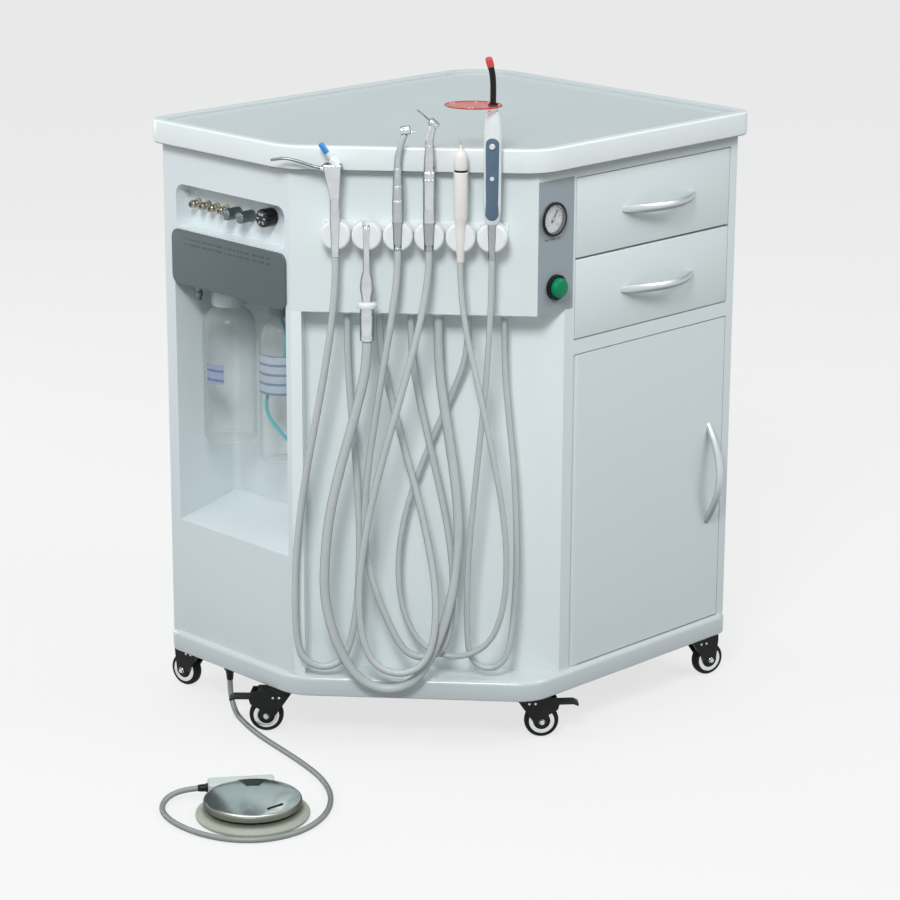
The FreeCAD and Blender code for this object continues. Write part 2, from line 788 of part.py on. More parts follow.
# hoses: where each leaves the console (along, out), and the radius of the hose
hose_out = -20.0
hose_sockets = {
    "syringe": (77.0, hose_radius),
    "low_speed": (122.0, hose_radius),
    "high_speed": (166.0, hose_radius),
    "suction": (204.0, suction_hose_radius),
    "scaler": (246.0, slim_hose_radius),
    "curing_light": (296.0, slim_hose_radius),
}
sockets = [hose_socket(distance, hose_out, radius) for distance, radius in hose_sockets.values()]
save("console_housing", make_console(), *sockets)


def make_fascia():
    """The grey side plate of the console, with the gauge's hole and the collar round the power button."""
    plate = block(cut_end.x, fascia_right, front_y, front_y + fascia_thickness, console_bottom, fascia_top)
    collar = rod(Vector(button_x, front_y, button_z), Vector(0, -1, 0), button_collar_radius,
                 button_collar_proud)
    plate = plate.fuse(collar)
    plate = plate.cut(rod(Vector(gauge_x, front_y - 1, gauge_z), Vector(0, 1, 0),
                          gauge_case_radius + 0.1, fascia_thickness + 2))
    return plate.cut(rod(Vector(button_x, front_y - 20, button_z), Vector(0, 1, 0),
                         button_radius + fit_gap, fascia_thickness + 30)).removeSplitter()


save("console_fascia", make_fascia())

gauge_cavity = 4.0
dial_depth = gauge_proud - 1.5 - gauge_cavity


def make_gauge():
    """A round pressure gauge: case with bezel, open cavity over the dial, and the lens that closes it."""
    r = gauge_radius
    inner = r - 3.5
    case = [(0, -24), (gauge_case_radius, -24), (gauge_case_radius, 0), (r, 0), (r, gauge_proud - 1),
            (r - 1, gauge_proud), (inner, gauge_proud), (inner, dial_depth), (0, dial_depth)]
    lens = [(0, gauge_proud - 1.5), (inner, gauge_proud - 1.5), (inner, gauge_proud - 0.3),
            (0, gauge_proud - 0.3)]
    foot = Vector(gauge_x, front_y, gauge_z)
    return [turned(case, foot, Vector(0, -1, 0)), turned(lens, foot, Vector(0, -1, 0))]


save("gauge_case", *make_gauge())


def make_needle():
    """The gauge's needle: a thin pointer on a round boss, drawn along +Z and then turned to its rest."""
    y0 = front_y - dial_depth - 0.3
    centre = Vector(gauge_x, y0, gauge_z)
    boss = rod(centre, Vector(0, -1, 0), 3.0, 2.6)
    points = [Vector(-1.6, 0, -6), Vector(1.6, 0, -6), Vector(0.5, 0, 16), Vector(-0.5, 0, 16)]
    pointer = Part.Face(Part.makePolygon(points + points[:1])).extrude(Vector(0, -1, 0))
    pointer.translate(centre + Vector(0, -0.8, 0))
    needle = boss.fuse(pointer)
    needle.rotate(centre, Vector(0, 1, 0), gauge_rest_angle)
    return needle


gauge_rest_angle = 35.0
save("gauge_needle", make_needle())
save("power_button", turned(
    [(0, -button_travel - 2), (button_radius, -button_travel - 2), (button_radius, button_proud - 4),
     (button_radius - 2, button_proud - 1.2),
     (button_radius - 5, button_proud), (0, button_proud)],
    Vector(button_x, front_y, button_z), Vector(0, -1, 0)))

# ---------------------------------------------------------------- instrument holders
# seat radii of each instrument at the bottom and the top of its holder
seats = {
    "syringe": (6.2, 7.4),
    "suction": (5.2, 6.2),
    "high_speed": (6.2, 7.6),
    "low_speed": (7.0, 8.6),
    "scaler": (6.0, 7.8),
    "curing_light": (5.6, 6.8),
}
seat_low = holder_z - holder_radius
seat_high = holder_z + holder_radius
places = {name: first_holder + holder_pitch * i for i, name in enumerate(seats)}


def make_holders():
    length = holder_pitch * (len(seats) - 1) + 2 * holder_radius
    rail = Part.makeBox(length, holder_rail_thickness, holder_rail_height,
                        Vector(-holder_radius, -holder_rail_thickness, -holder_rail_height / 2))
    solids = [at_cut(rail, first_holder, 0, holder_z)]
    for name, (low, high) in seats.items():
        foot = at_front(places[name], holder_rail_thickness, holder_z)
        puck = rod(foot, outward, holder_radius, holder_thickness)
        rims = [e for e in puck.Edges if e.Closed]
        puck = puck.makeFillet(4.0, rims)
        slope = (high - low) / (2 * holder_radius)
        cone = turned([(0, seat_low - 5), (low - 5 * slope + fit_gap, seat_low - 5),
                       (high + 5 * slope + fit_gap, seat_high + 5), (0, seat_high + 5)],
                      at_front(places[name], instrument_out, 0))
        solids.append(puck.cut(cone))
    return solids


save("instrument_holders", *make_holders())


# ---------------------------------------------------------------- instruments
def axis_at(name):
    """The foot of an instrument's axis, on the floor level."""
    return at_front(places[name], instrument_out, 0)


def loft(sections):
    """A solid through round sections, each a centre, a direction and a radius."""
    wires = [Part.Wire(Part.makeCircle(r, centre, direction)) for centre, direction, r in sections]
    return Part.makeLoft(wires, True, False)


def tilted(degrees_left):
    """A direction in the plane of the console's front, leaning to the left of upright."""
    a = math.radians(degrees_left)
    return along * -math.sin(a) + up * math.cos(a)


syringe_tail = 9.3  # under the holder
syringe_reach = 78.3  # from the top of the holder to the top of the head
syringe_head_height = 45.0
syringe_neck_width = 14.6
syringe_head_width = 27.0
syringe_head_depth = 20.0
syringe_head_corner = 5.5
syringe_head_shift = 3.3  # the head leans this far to the left of the handle
nozzle_radius = 2.2
nozzle_length = 74.0
nozzle_rise = 12.0
nozzle_collar_radius = 4.0
nozzle_collar_length = 10.0
button_lean = 35.0
button_stem_radius = 3.0
button_cap_radius = 4.0
button_cap_length = 16.0
button_spacing = 10.0
button_bore_right = 5.0  # the foot of the bores, from the handle's axis
button_bore_depth = 6.0
button_boss_length = 16.0
syringe_button_travel = 2.5
# out of the middle of the head, and length of the button from the foot of its bore
syringe_buttons = {"air": (button_spacing / 2, 42.0), "water": (-button_spacing / 2, 35.0)}
syringe_top = seat_high + syringe_reach
syringe_neck = syringe_top - syringe_head_height


def button_foot(out):
    """The foot of a button's bore in the syringe's head."""
    z = syringe_top - button_bore_depth
    return at_front(places["syringe"] + button_bore_right, instrument_out + out, z)


def make_syringe():
    """A plated handle that widens into the head, which carries the nozzle and the bores of the buttons."""
    low, high = seats["syringe"]
    s = places["syringe"]
    neck = syringe_neck_width / 2
    foot_z = seat_low - syringe_tail
    handle = turned([(0, foot_z), (low - fit_gap, foot_z), (low, seat_low), (high, seat_high),
                     (neck - 0.2, syringe_neck - 12), (neck, syringe_neck), (0, syringe_neck)],
                    axis_at("syringe"))
    wires = []
    for share, width, depth in (
        (0.0, syringe_neck_width, syringe_neck_width),
        (0.55, syringe_head_width - 7, syringe_head_depth - 2.5),
        (1.0, syringe_head_width, syringe_head_depth),
    ):
        z = syringe_neck - 1 + (syringe_head_height + 1) * share
        middle = at_front(s - syringe_head_shift * share, instrument_out, z)
        corners = [middle + along * (i * width / 2) + outward * (j * depth / 2)
                   for i, j in ((1, -1), (1, 1), (-1, 1), (-1, -1))]
        wires.append(rounded_wire(corners, syringe_head_corner))
    head = Part.makeLoft(wires, True, False)
    nozzle_start = s - syringe_head_width / 2
    nozzle_z = syringe_top - 8
    points = [at_front(nozzle_start - nozzle_length * share, instrument_out, nozzle_z + nozzle_rise * rise)
              for share, rise in ((-0.05, 0.0), (0.2, 0.25), (0.47, 0.85), (0.73, 1.2), (1.0, 0.95))]
    nozzle = tube(points, nozzle_radius)
    collar = rod(points[0], points[1] - points[0], nozzle_collar_radius, nozzle_collar_length)
    bosses = [rod(button_foot(out) + tilted(button_lean) * button_stem_radius, tilted(button_lean),
                  button_spacing / 2 + 0.2, button_boss_length - button_stem_radius)
              for out, length in syringe_buttons.values()]
    body = handle.fuse([head, nozzle, collar] + bosses)
    for out, length in syringe_buttons.values():
        body = body.cut(rod(button_foot(out), tilted(button_lean), button_stem_radius + fit_gap, 40))
    return body


def make_syringe_button(out, length):
    lift = syringe_button_travel + fit_gap
    foot = button_foot(out) + tilted(button_lean) * lift
    top = length - lift
    stem = top - button_cap_length
    return turned([(0, 0), (button_stem_radius, 0), (button_stem_radius, stem), (button_cap_radius, stem + 1),
                   (button_cap_radius, top - 2), (button_cap_radius - 1.5, top), (0, top)],
                  foot, tilted(button_lean))


save("syringe", make_syringe())
for name, (out, length) in syringe_buttons.items():
    save("syringe_" + name + "_button", make_syringe_button(out, length))


suction_reach = 126.3  # from the holder down to the valve's end
suction_valve_radius = 9.8
suction_flange_radius = 13.6
suction_bulge_radius = 9.4
suction_tube_radius = 5.1
suction_nozzle_radius = 3.0


def make_suction():
    """The suction handpiece: a valve body with a flange, a bulge above it, and a tube up to the nozzle."""
    low, high = seats["suction"]
    z = seat_low - suction_reach
    valve, flange, bulge = suction_valve_radius, suction_flange_radius, suction_bulge_radius
    return turned([(0, z), (valve - 0.5, z), (valve, z + 2), (valve, z + 41), (valve - 1, z + 46),
                   (flange, z + 47), (flange, z + 53), (bulge - 2.5, z + 55), (bulge - 1.6, z + 63),
                   (bulge, z + 71), (bulge - 0.2, z + 83), (suction_tube_radius + 0.1, z + 99),
                   (suction_tube_radius, seat_low - 3), (low, seat_low), (high, seat_high - 12),
                   (suction_nozzle_radius + 1.2, seat_high - 8), (suction_nozzle_radius, seat_high - 6),
                   (0, seat_high - 6)], axis_at("suction"))


save("suction_handpiece", make_suction())


high_speed_reach = 119.3  # from the top of the holder to the end of the neck
high_speed_neck_radius = 5.0
high_speed_lean = 10.0
turbine_radius = 5.8
turbine_length = 14.0
handpiece_lift = 1.7  # the handpieces' ends stand this far over the foot of the holder
bur_radius = 0.8
bur_length = 6.0


def above(reach, share):
    """The height at this share of an instrument's reach over its holder."""
    return seat_high + reach * share


def make_high_speed():
    """A slim handle, a bent neck and the short round turbine head with its bur."""
    low, high = seats["high_speed"]
    s = places["high_speed"]
    reach, neck_radius, lean = high_speed_reach, high_speed_neck_radius, high_speed_lean
    foot_z = seat_low + handpiece_lift
    handle = turned([(0, foot_z), (low - 0.6, foot_z), (low - 0.4, foot_z + 4), (low + 0.1, foot_z + 9),
                     (high, seat_high), (high, above(reach, 0.23)), (high - 1, above(reach, 0.5)),
                     (neck_radius + 0.4, above(reach, 0.63)), (0, above(reach, 0.63))], axis_at("high_speed"))
    neck = loft([
        (at_front(s, instrument_out, above(reach, 0.6)), tilted(0), neck_radius),
        (at_front(s + lean * 0.15, instrument_out, above(reach, 0.75)), tilted(-9), neck_radius * 0.98),
        (at_front(s + lean * 0.5, instrument_out, above(reach, 0.875)), tilted(-16), neck_radius * 0.86),
        (at_front(s + lean, instrument_out, above(reach, 1)), tilted(-21), neck_radius * 0.8),
    ])
    turn = tilted(-80)
    middle = at_front(s + lean + 0.4, instrument_out, above(reach, 1) + turbine_radius + 0.4)
    drum = rod(middle - turn * (turbine_length / 2), turn, turbine_radius, turbine_length)
    drum = drum.makeFillet(1.2, [e for e in drum.Edges if e.Closed])
    bur_foot = middle + turn * (turbine_length / 2 - 0.3) - up * (turbine_radius * 0.63)
    bur = rod(bur_foot, turn, bur_radius, bur_length)
    return handle.fuse([neck, drum, bur])


save("high_speed_handpiece", make_high_speed())


low_speed_reach = 131.3
low_speed_neck_radius = 5.6
low_speed_lean = 5.0
low_speed_head_radius = 5.2
low_speed_head_length = 14.0
long_bur_radius = 1.0
long_bur_length = 22.0


def make_low_speed():
    """A motor sleeve with a collar, a slim neck on it, and the contra-angle head with its long bur."""
    low, high = seats["low_speed"]
    s = places["low_speed"]
    reach, neck_radius, lean = low_speed_reach, low_speed_neck_radius, low_speed_lean
    foot_z = seat_low + handpiece_lift
    handle = turned([(0, foot_z), (low - 0.8, foot_z), (low - 0.8, foot_z + 5), (low + 0.2, foot_z + 9),
                     (high, seat_high), (high, above(reach, 0.42)), (high + 0.4, above(reach, 0.43)),
                     (high + 0.4, above(reach, 0.52)), (high - 0.8, above(reach, 0.535)),
                     (neck_radius + 1.6, above(reach, 0.68)), (neck_radius + 0.8, above(reach, 0.71)),
                     (neck_radius + 0.4, above(reach, 0.82)), (0, above(reach, 0.82))], axis_at("low_speed"))
    neck = loft([
        (at_front(s, instrument_out, above(reach, 0.79)), tilted(0), neck_radius),
        (at_front(s + lean * 0.3, instrument_out, above(reach, 0.89)), tilted(-9), neck_radius * 0.93),
        (at_front(s + lean, instrument_out, above(reach, 1)), tilted(-17), neck_radius * 0.82),
    ])
    turn = tilted(50)
    drum_foot = at_front(s + lean + low_speed_head_radius + 0.8, instrument_out, above(reach, 1) - 0.5)
    drum = rod(drum_foot, turn, low_speed_head_radius, low_speed_head_length)
    drum = drum.makeFillet(1.0, [e for e in drum.Edges if e.Closed])
    bur = rod(drum_foot + turn * (low_speed_head_length - 0.3), turn, long_bur_radius, long_bur_length)
    return handle.fuse([neck, drum, bur])


save("low_speed_handpiece", make_low_speed())


scaler_tail = 13.3
scaler_reach = 107.3
scaler_radius = 10.0
scaler_tip_length = 16.0
scaler_tip_radius = 0.95


def make_scaler():
    """A straight sleeve, a groove for its black ring, a blunt nose and the thin bent tip."""
    low, high = seats["scaler"]
    foot_z = seat_low - scaler_tail
    profile = [(0, foot_z), (low - 0.6, foot_z), (low - 0.6, foot_z + 10), (low, seat_low),
               (high - 0.4, seat_high - 8), (high, seat_high)]
    for width, share in ((1.0, 0.09), (1.0, 0.645), (0.9, 0.655), (0.9, 0.685), (0.96, 0.69), (0.98, 0.795),
                         (0.88, 0.855), (0.64, 0.91), (0.3, 0.945), (0.16, 0.965), (0.12, 1.0), (0.0, 1.0)):
        profile.append((scaler_radius * width, above(scaler_reach, share)))
    body = turned(profile, axis_at("scaler"))
    s = places["scaler"]
    top = above(scaler_reach, 1)
    length, radius = scaler_tip_length, scaler_tip_radius
    tip = loft([
        (at_front(s, instrument_out, top - length * 0.19), tilted(0), radius),
        (at_front(s - 2, instrument_out, top + length * 0.37), tilted(15), radius * 0.95),
        (at_front(s - 2.5, instrument_out, top + length * 0.81), tilted(-8), radius / 2),
    ])
    return body.fuse(tip)


save("ultrasonic_scaler", make_scaler())

light_tail = 9.3  # the connector, under the holder
light_length = 153.0
light_width = 24.0
light_nose = 30.0
guide_radius = 4.2
guide_straight = 28.0  # from the shield to the guide's bend
guide_height = 61.0
guide_lean = 6.0
guide_cap_radius = 5.0
guide_cap_length = 14.0
shield_lift = 8.0  # from the wand's end to the middle of the shield
light_low = seat_high + fit_gap
light_top = light_low + light_length
shield_length = 79.0
shield_width = 60.0
shield_thickness = 2.5
shield_offset = 26.5


def make_curing_light():
    """The curing light's body: an oval wand with a grip face, on a round metal connector."""
    low, high = seats["curing_light"]
    foot = axis_at("curing_light")
    foot_z = seat_low - light_tail
    sleeve = turned([(0, foot_z), (low - 0.8, foot_z), (low - 0.4, foot_z + 2), (low, seat_low),
                     (high, seat_high), (high, light_low + 3), (0, light_low + 3)], foot)
    s = places["curing_light"]
    wires = []
    half = light_width / 2
    middle_z = (light_low + light_top) / 2
    sections = ((light_low, half - 4, half - 4), (light_low + 13, half - 0.5, half - 2),
                (middle_z, half, half - 1.7), (light_top - light_nose, half, half - 1.8),
                (light_top - 12, half - 1.5, half - 2.6), (light_top, half - 4, half - 4))
    for z, half_long, half_wide in sections:
        if abs(half_long - half_wide) < 0.01:
            half_long += 0.02
        section = Part.Ellipse(Vector(0, 0, 0), half_long, half_wide).toShape()
        section.rotate(Vector(0, 0, 0), up, front_angle)
        section.translate(at_front(s, instrument_out, z))
        wires.append(Part.Wire(section))
    wand = Part.makeLoft(wires, True, False)
    body = wand.fuse(sleeve)
    bore = rod(at_front(s, instrument_out + 6, light_button_z), outward, light_button_radius + fit_gap, 20)
    return body.cut(bore)


light_button_z = light_top - 46.0
light_button_radius = 4.0
light_button_travel = 1.2
save("curing_light", make_curing_light())


def make_light_button():
    s = places["curing_light"]
    foot = at_front(s, instrument_out + 6 + light_button_travel + fit_gap, light_button_z)
    return turned([(0, 0), (light_button_radius, 0), (light_button_radius, 5.5),
                   (light_button_radius - 1, 6.5), (0, 6.5)], foot, outward)


save("curing_light_button", make_light_button())


shield_z = light_top + shield_lift


def make_light_guide():
    """The bent glass-fibre guide and the oval shield that slips over it."""
    s = places["curing_light"]
    foot = axis_at("curing_light")
    ferrule_top = shield_z - shield_thickness / 2
    ferrule = turned([(0, light_top), (6.5, light_top), (6.5, ferrule_top), (0, ferrule_top)], foot)
    guide = tube([
        at_front(s, instrument_out, shield_z - 3),
        at_front(s, instrument_out, shield_z + guide_straight),
        at_front(s - guide_lean / 4, instrument_out, shield_z + guide_height - 15),
        at_front(s - guide_lean, instrument_out, shield_z + guide_height),
    ], guide_radius)
    cap_lean = math.degrees(math.atan2(guide_lean * 3 / 4, 15))
    cap_foot = at_front(s - guide_lean, instrument_out, shield_z + guide_height) - tilted(cap_lean) * 9.6
    cap = rod(cap_foot, tilted(cap_lean), guide_cap_radius, guide_cap_length)
    rim = max((e for e in cap.Edges if e.Closed), key=lambda e: e.BoundBox.ZMin)
    cap = cap.makeFillet(guide_cap_radius / 2, [rim])
    oval = Part.Ellipse(Vector(0, 0, 0), shield_length / 2, shield_width / 2).toShape()
    shield = Part.Face(Part.Wire(oval)).extrude(Vector(0, 0, shield_thickness))
    shield.translate(Vector(-shield_offset, 0, 0))
    shield = at_cut(shield, s, instrument_out, shield_z - shield_thickness / 2)
    shield = shield.cut(rod(at_front(s, instrument_out, shield_z - 5), up, guide_radius, 10))
    return [ferrule.fuse([guide, cap]), shield]


save("curing_light_guide", *make_light_guide())

# ---------------------------------------------------------------- castors
# swivel axis, from the nearest corners of the body, and the direction in which the wheel trails behind it
castors = {
    1: (left_x + 34.0, half_d - 16.0, 100.0),
    2: (left_x + 12.0, cut_start.y + 38.0, 135.0),
    3: (cut_end.x + 21.0, front_y + 36.0, -40.0),
    4: (half_w - 38.0, front_y + 24.0, -16.0),
    5: (half_w - 64.0, half_d - 58.0, 55.0),
}
braked = {1: 2, 2: 3}
crown_z = castor_height - castor_plate_thickness - fit_gap
crown_thickness = 5.0
fork_inside = wheel_width / 2 + 1.0
kingpin_washer = 2.0


def castor_frame(shape, number):
    """A shape drawn with its swivel axis on Z and its wheel towards +X, brought to its castor."""
    x, y, angle = castors[number]
    shape = shape.copy()
    shape.rotate(Vector(0, 0, 0), up, angle)
    shape.translate(Vector(x, y, 0))
    return shape


def make_castor_plate():
    half = castor_plate / 2
    plate = Part.makeBox(castor_plate, castor_plate, castor_plate_thickness,
                         Vector(-half, -half, castor_height - castor_plate_thickness))
    foot = Vector(0, 0, crown_z - crown_thickness - fit_gap - kingpin_washer)
    pin = rod(foot, up, kingpin_radius, castor_height - castor_plate_thickness - foot.z)
    washer = rod(foot, up, kingpin_radius + 3, kingpin_washer)
    return plate.fuse([pin, washer])


def make_castor_fork():
    """A pressed fork: round crown on the king pin, two cheeks beside the wheel, and the axle."""
    outside = fork_inside + fork_steel
    low = crown_z - crown_thickness
    crown = rod(Vector(0, 0, low), up, castor_plate / 2, crown_thickness)
    roof_end = castor_trail + 12
    roof = Part.makeBox(roof_end, 2 * outside, fork_steel, Vector(0, -outside, low))
    cheek_points = [(-13, low + 0.5), (roof_end, low + 0.5), (roof_end, low - 6),
                    (castor_trail + 8, wheel_radius - 3), (castor_trail - 2, wheel_radius - 9),
                    (castor_trail - 13, wheel_radius + 1)]
    cheek_wire = [Vector(x, 0, z) for x, z in cheek_points]
    cheek = Part.Face(rounded_wire(cheek_wire, 2.0)).extrude(Vector(0, fork_steel, 0))
    axle = rod(Vector(castor_trail, -outside - 2, wheel_radius), Vector(0, 1, 0), axle_radius,
               2 * outside + 4)
    fork = crown.fuse([roof, moved(cheek, y=fork_inside), moved(cheek, y=-outside), axle])
    return fork.cut(rod(Vector(0, 0, low - 1), up, kingpin_radius + axle_clearance, crown_thickness + 2))


def make_castor_wheel():
    """A wheel with a rounded tyre, a raised hub disc on each face and a bore for the axle."""
    half = wheel_width / 2
    bore = axle_radius + axle_clearance
    profile = [(bore, -half), (6.5, -half), (7.0, -half + 0.8), (16.5, -half + 0.8), (17.0, -half + 1.8),
               (21.5, -half + 1.8), (24.0, -half + 3.5), (wheel_radius, -half + 6.5), (wheel_radius, half - 6.5),
               (24.0, half - 3.5), (21.5, half - 1.8), (17.0, half - 1.8), (16.5, half - 0.8), (7.0, half - 0.8),
               (6.5, half), (bore, half)]
    return turned(profile, Vector(castor_trail, 0, wheel_radius), Vector(0, 1, 0))


brake_x = castor_trail + 20.0
brake_z = 49.0
brake_reach = 34.0
brake_pin_radius = 2.0
brake_eye_radius = 5.0


def make_brake_lever():
    """A brake lever behind the fork: a foot plate with a round eye on its pin and a raised heel tab."""
    half = fork_inside - fit_gap
    eye = rod(Vector(brake_x, -half, brake_z), Vector(0, 1, 0), brake_eye_radius, 2 * half)
    tip = brake_x + brake_reach
    points = [Vector(brake_x, 0, brake_z + 1), Vector(tip - 8, 0, brake_z + 1), Vector(tip - 1, 0, brake_z - 2),
              Vector(tip, 0, brake_z + 1.5), Vector(tip - 7, 0, brake_z + brake_eye_radius),
              Vector(brake_x, 0, brake_z + brake_eye_radius)]
    plate = Part.Face(Part.makePolygon(points + points[:1])).extrude(Vector(0, 2 * half, 0))
    plate.translate(Vector(0, -half, 0))
    lever = eye.fuse(plate)
    return lever.cut(rod(Vector(brake_x, -half - 1, brake_z), Vector(0, 1, 0),
                         brake_pin_radius + axle_clearance, 2 * half + 2)).removeSplitter()


def make_braked_fork():
    """The fork of a braked castor carries the lever's pin between two ears."""
    outside = fork_inside + fork_steel
    pin = rod(Vector(brake_x, -outside, brake_z), Vector(0, 1, 0), brake_pin_radius, 2 * outside)
    solids = [pin]
    for y0 in (fork_inside, -outside):
        points = [Vector(castor_trail + 6, y0, crown_z - crown_thickness + 1),
                  Vector(castor_trail + 4, y0, wheel_radius + 8),
                  Vector(brake_x + 3, y0, brake_z - 5), Vector(brake_x + 5, y0, brake_z + 3),
                  Vector(brake_x, y0, crown_z - crown_thickness + 1)]
        solids.append(Part.Face(Part.makePolygon(points + points[:1])).extrude(Vector(0, fork_steel, 0)))
    return make_castor_fork().fuse(solids).removeSplitter()


save("castor_plates", *[castor_frame(make_castor_plate(), number) for number in castors])
plain_fork = make_castor_fork()
braked_fork = make_braked_fork()
wheel = make_castor_wheel()
for number in castors:
    fork = braked_fork if number in braked.values() else plain_fork
    save(f"castor_fork_{number}", castor_frame(fork, number))
    save(f"castor_wheel_{number}", castor_frame(wheel, number))
for lever, number in braked.items():
    save(f"castor_brake_{lever}", castor_frame(make_brake_lever(), number))


# ---------------------------------------------------------------- foot control
def pedal_frame(shape):
    shape = shape.copy()
    shape.rotate(Vector(0, 0, 0), up, pedal_turn)
    shape.translate(Vector(pedal_x, pedal_y, 0))
    return shape


def pedal_point(x, y, z):
    a = math.radians(pedal_turn)
    return Vector(pedal_x + x * math.cos(a) - y * math.sin(a), pedal_y + x * math.sin(a) + y * math.cos(a), z)


def make_pedal_base():
    """A low round dish with a guide bore for the treadle and the valve box at its back."""
    r = pedal_base_radius
    dish = turned([(0, 0), (r - 2, 0), (r, 2), (r, 5), (r - 14, 13), (r - 18, 14), (r - 18, 8), (15, 8),
                   (15, 13), (0, 13)])
    housing = Part.makeBox(pedal_box_width, pedal_box_depth, pedal_box_height,
                           Vector(pedal_box_left, pedal_box_front, 0))
    upright = [e for e in housing.Edges if abs(e.tangentAt(e.FirstParameter).z) > 0.9]
    housing = housing.makeFillet(6.0, upright)
    housing = housing.cut(rod(Vector(0, 0, 5), up, pedal_cover_radius + 1.5, 40))
    bore = rod(Vector(0, 0, 3), up, pedal_post_radius + fit_gap, 20)
    return pedal_frame(dish.fuse(housing).cut(bore).removeSplitter())


def make_pedal_cover():
    """The domed treadle: a thin dished cap with a rolled rim and a guide post under its middle."""
    r = pedal_cover_radius
    z = pedal_rim_z
    top = z + pedal_dome
    post_low = 3 + pedal_travel + 0.5
    profile = [(0, post_low), (pedal_post_radius, post_low), (pedal_post_radius, top - 4), (r * 0.5, top - 5.0),
               (r * 0.85, z + 2.2), (r - 3, z - 1.5), (r - 3, z - 5), (r, z - 5), (r, z + 1), (r - 3, z + 4.0),
               (r * 0.85, z + 6.0), (r * 0.5, top - 2.5), (0, top)]
    return pedal_frame(turned(profile))


save("foot_control_base", make_pedal_base())
save("foot_control_cover", make_pedal_cover())


# ---------------------------------------------------------------- compressor behind the door
compressor_y = 20.0
tank_radius = 80.0
tank_length = 260.0
tank_dish = 38.0  # how far the tank's dished ends reach
tank_clear = 32.0  # free height under the tank
tank_foot_height = 12.0
tank_foot_radius = 13.0
tank_leg = 16.0
motor_radius = 46.0
motor_length = 100.0
motor_bed_thickness = 6.0
pump_radius = 17.0
pump_height = 72.0
pump_fins = 4
fin_radius = 22.0
fin_pitch = 8.0
fin_thickness = 3.0


def make_compressor():
    """An oil-free compressor: tank on four feet, motor with two pump heads and fins, and a bed."""
    cx, cy = (opening_left + opening_right) / 2, compressor_y
    floor = floor_z + side_board
    tank_z = floor + tank_clear + tank_radius
    end = tank_length / 2
    half_tank = [(tank_radius * 0.62, end - tank_dish * 0.2), (tank_radius * 0.95, end - tank_dish * 0.68),
                 (tank_radius, end - tank_dish)]
    profile = [(0, -end)] + [(r, -x) for r, x in half_tank] + half_tank[::-1] + [(0, end)]
    tank = turned(profile, Vector(cx, cy, tank_z), Vector(1, 0, 0))
    solids = [tank]
    leg_x = end - tank_dish - 22
    leg_y = tank_radius * 0.56
    for x in (cx - leg_x, cx + leg_x):
        for y in (cy - leg_y, cy + leg_y):
            half = tank_leg / 2
            leg = block(x - half, x + half, y - half, y + half, floor + tank_foot_height,
                        tank_z - tank_radius * 0.77)
            solids.append(leg.cut(tank))
            solids.append(rod(Vector(x, y, floor), up, tank_foot_radius, tank_foot_height))
    bed_z = tank_z + tank_radius + 2
    bed = block(cx - end + 70, cx + end - 70, cy - tank_radius / 2, cy + tank_radius / 2, bed_z,
                bed_z + motor_bed_thickness)
    saddle = block(cx - end + 80, cx + end - 80, cy - tank_radius * 0.37, cy + tank_radius * 0.37,
                   tank_z + tank_radius * 0.75, bed_z).cut(tank)
    motor_z = bed_z + motor_bed_thickness + motor_radius
    half = motor_length / 2
    motor = turned([(0, -half), (motor_radius - 16, -half), (motor_radius, -half + 10), (motor_radius, half - 10),
                    (motor_radius - 16, half), (0, half)], Vector(cx, cy, motor_z), Vector(1, 0, 0))
    pump = [bed, motor]
    for x in (cx - half - pump_radius + 1, cx + half + pump_radius - 1):
        foot_z = motor_z - pump_height * 0.42
        pump.append(rod(Vector(x, cy, foot_z), up, pump_radius, pump_height))
        for i in range(pump_fins):
            fin_z = foot_z + pump_height - fin_thickness - (pump_fins - i - 0.5) * fin_pitch
            pump.append(rod(Vector(x, cy, fin_z), up, fin_radius, fin_thickness))
    solids.append(saddle.fuse(pump).removeSplitter())
    return solids


save("compressor", *make_compressor())

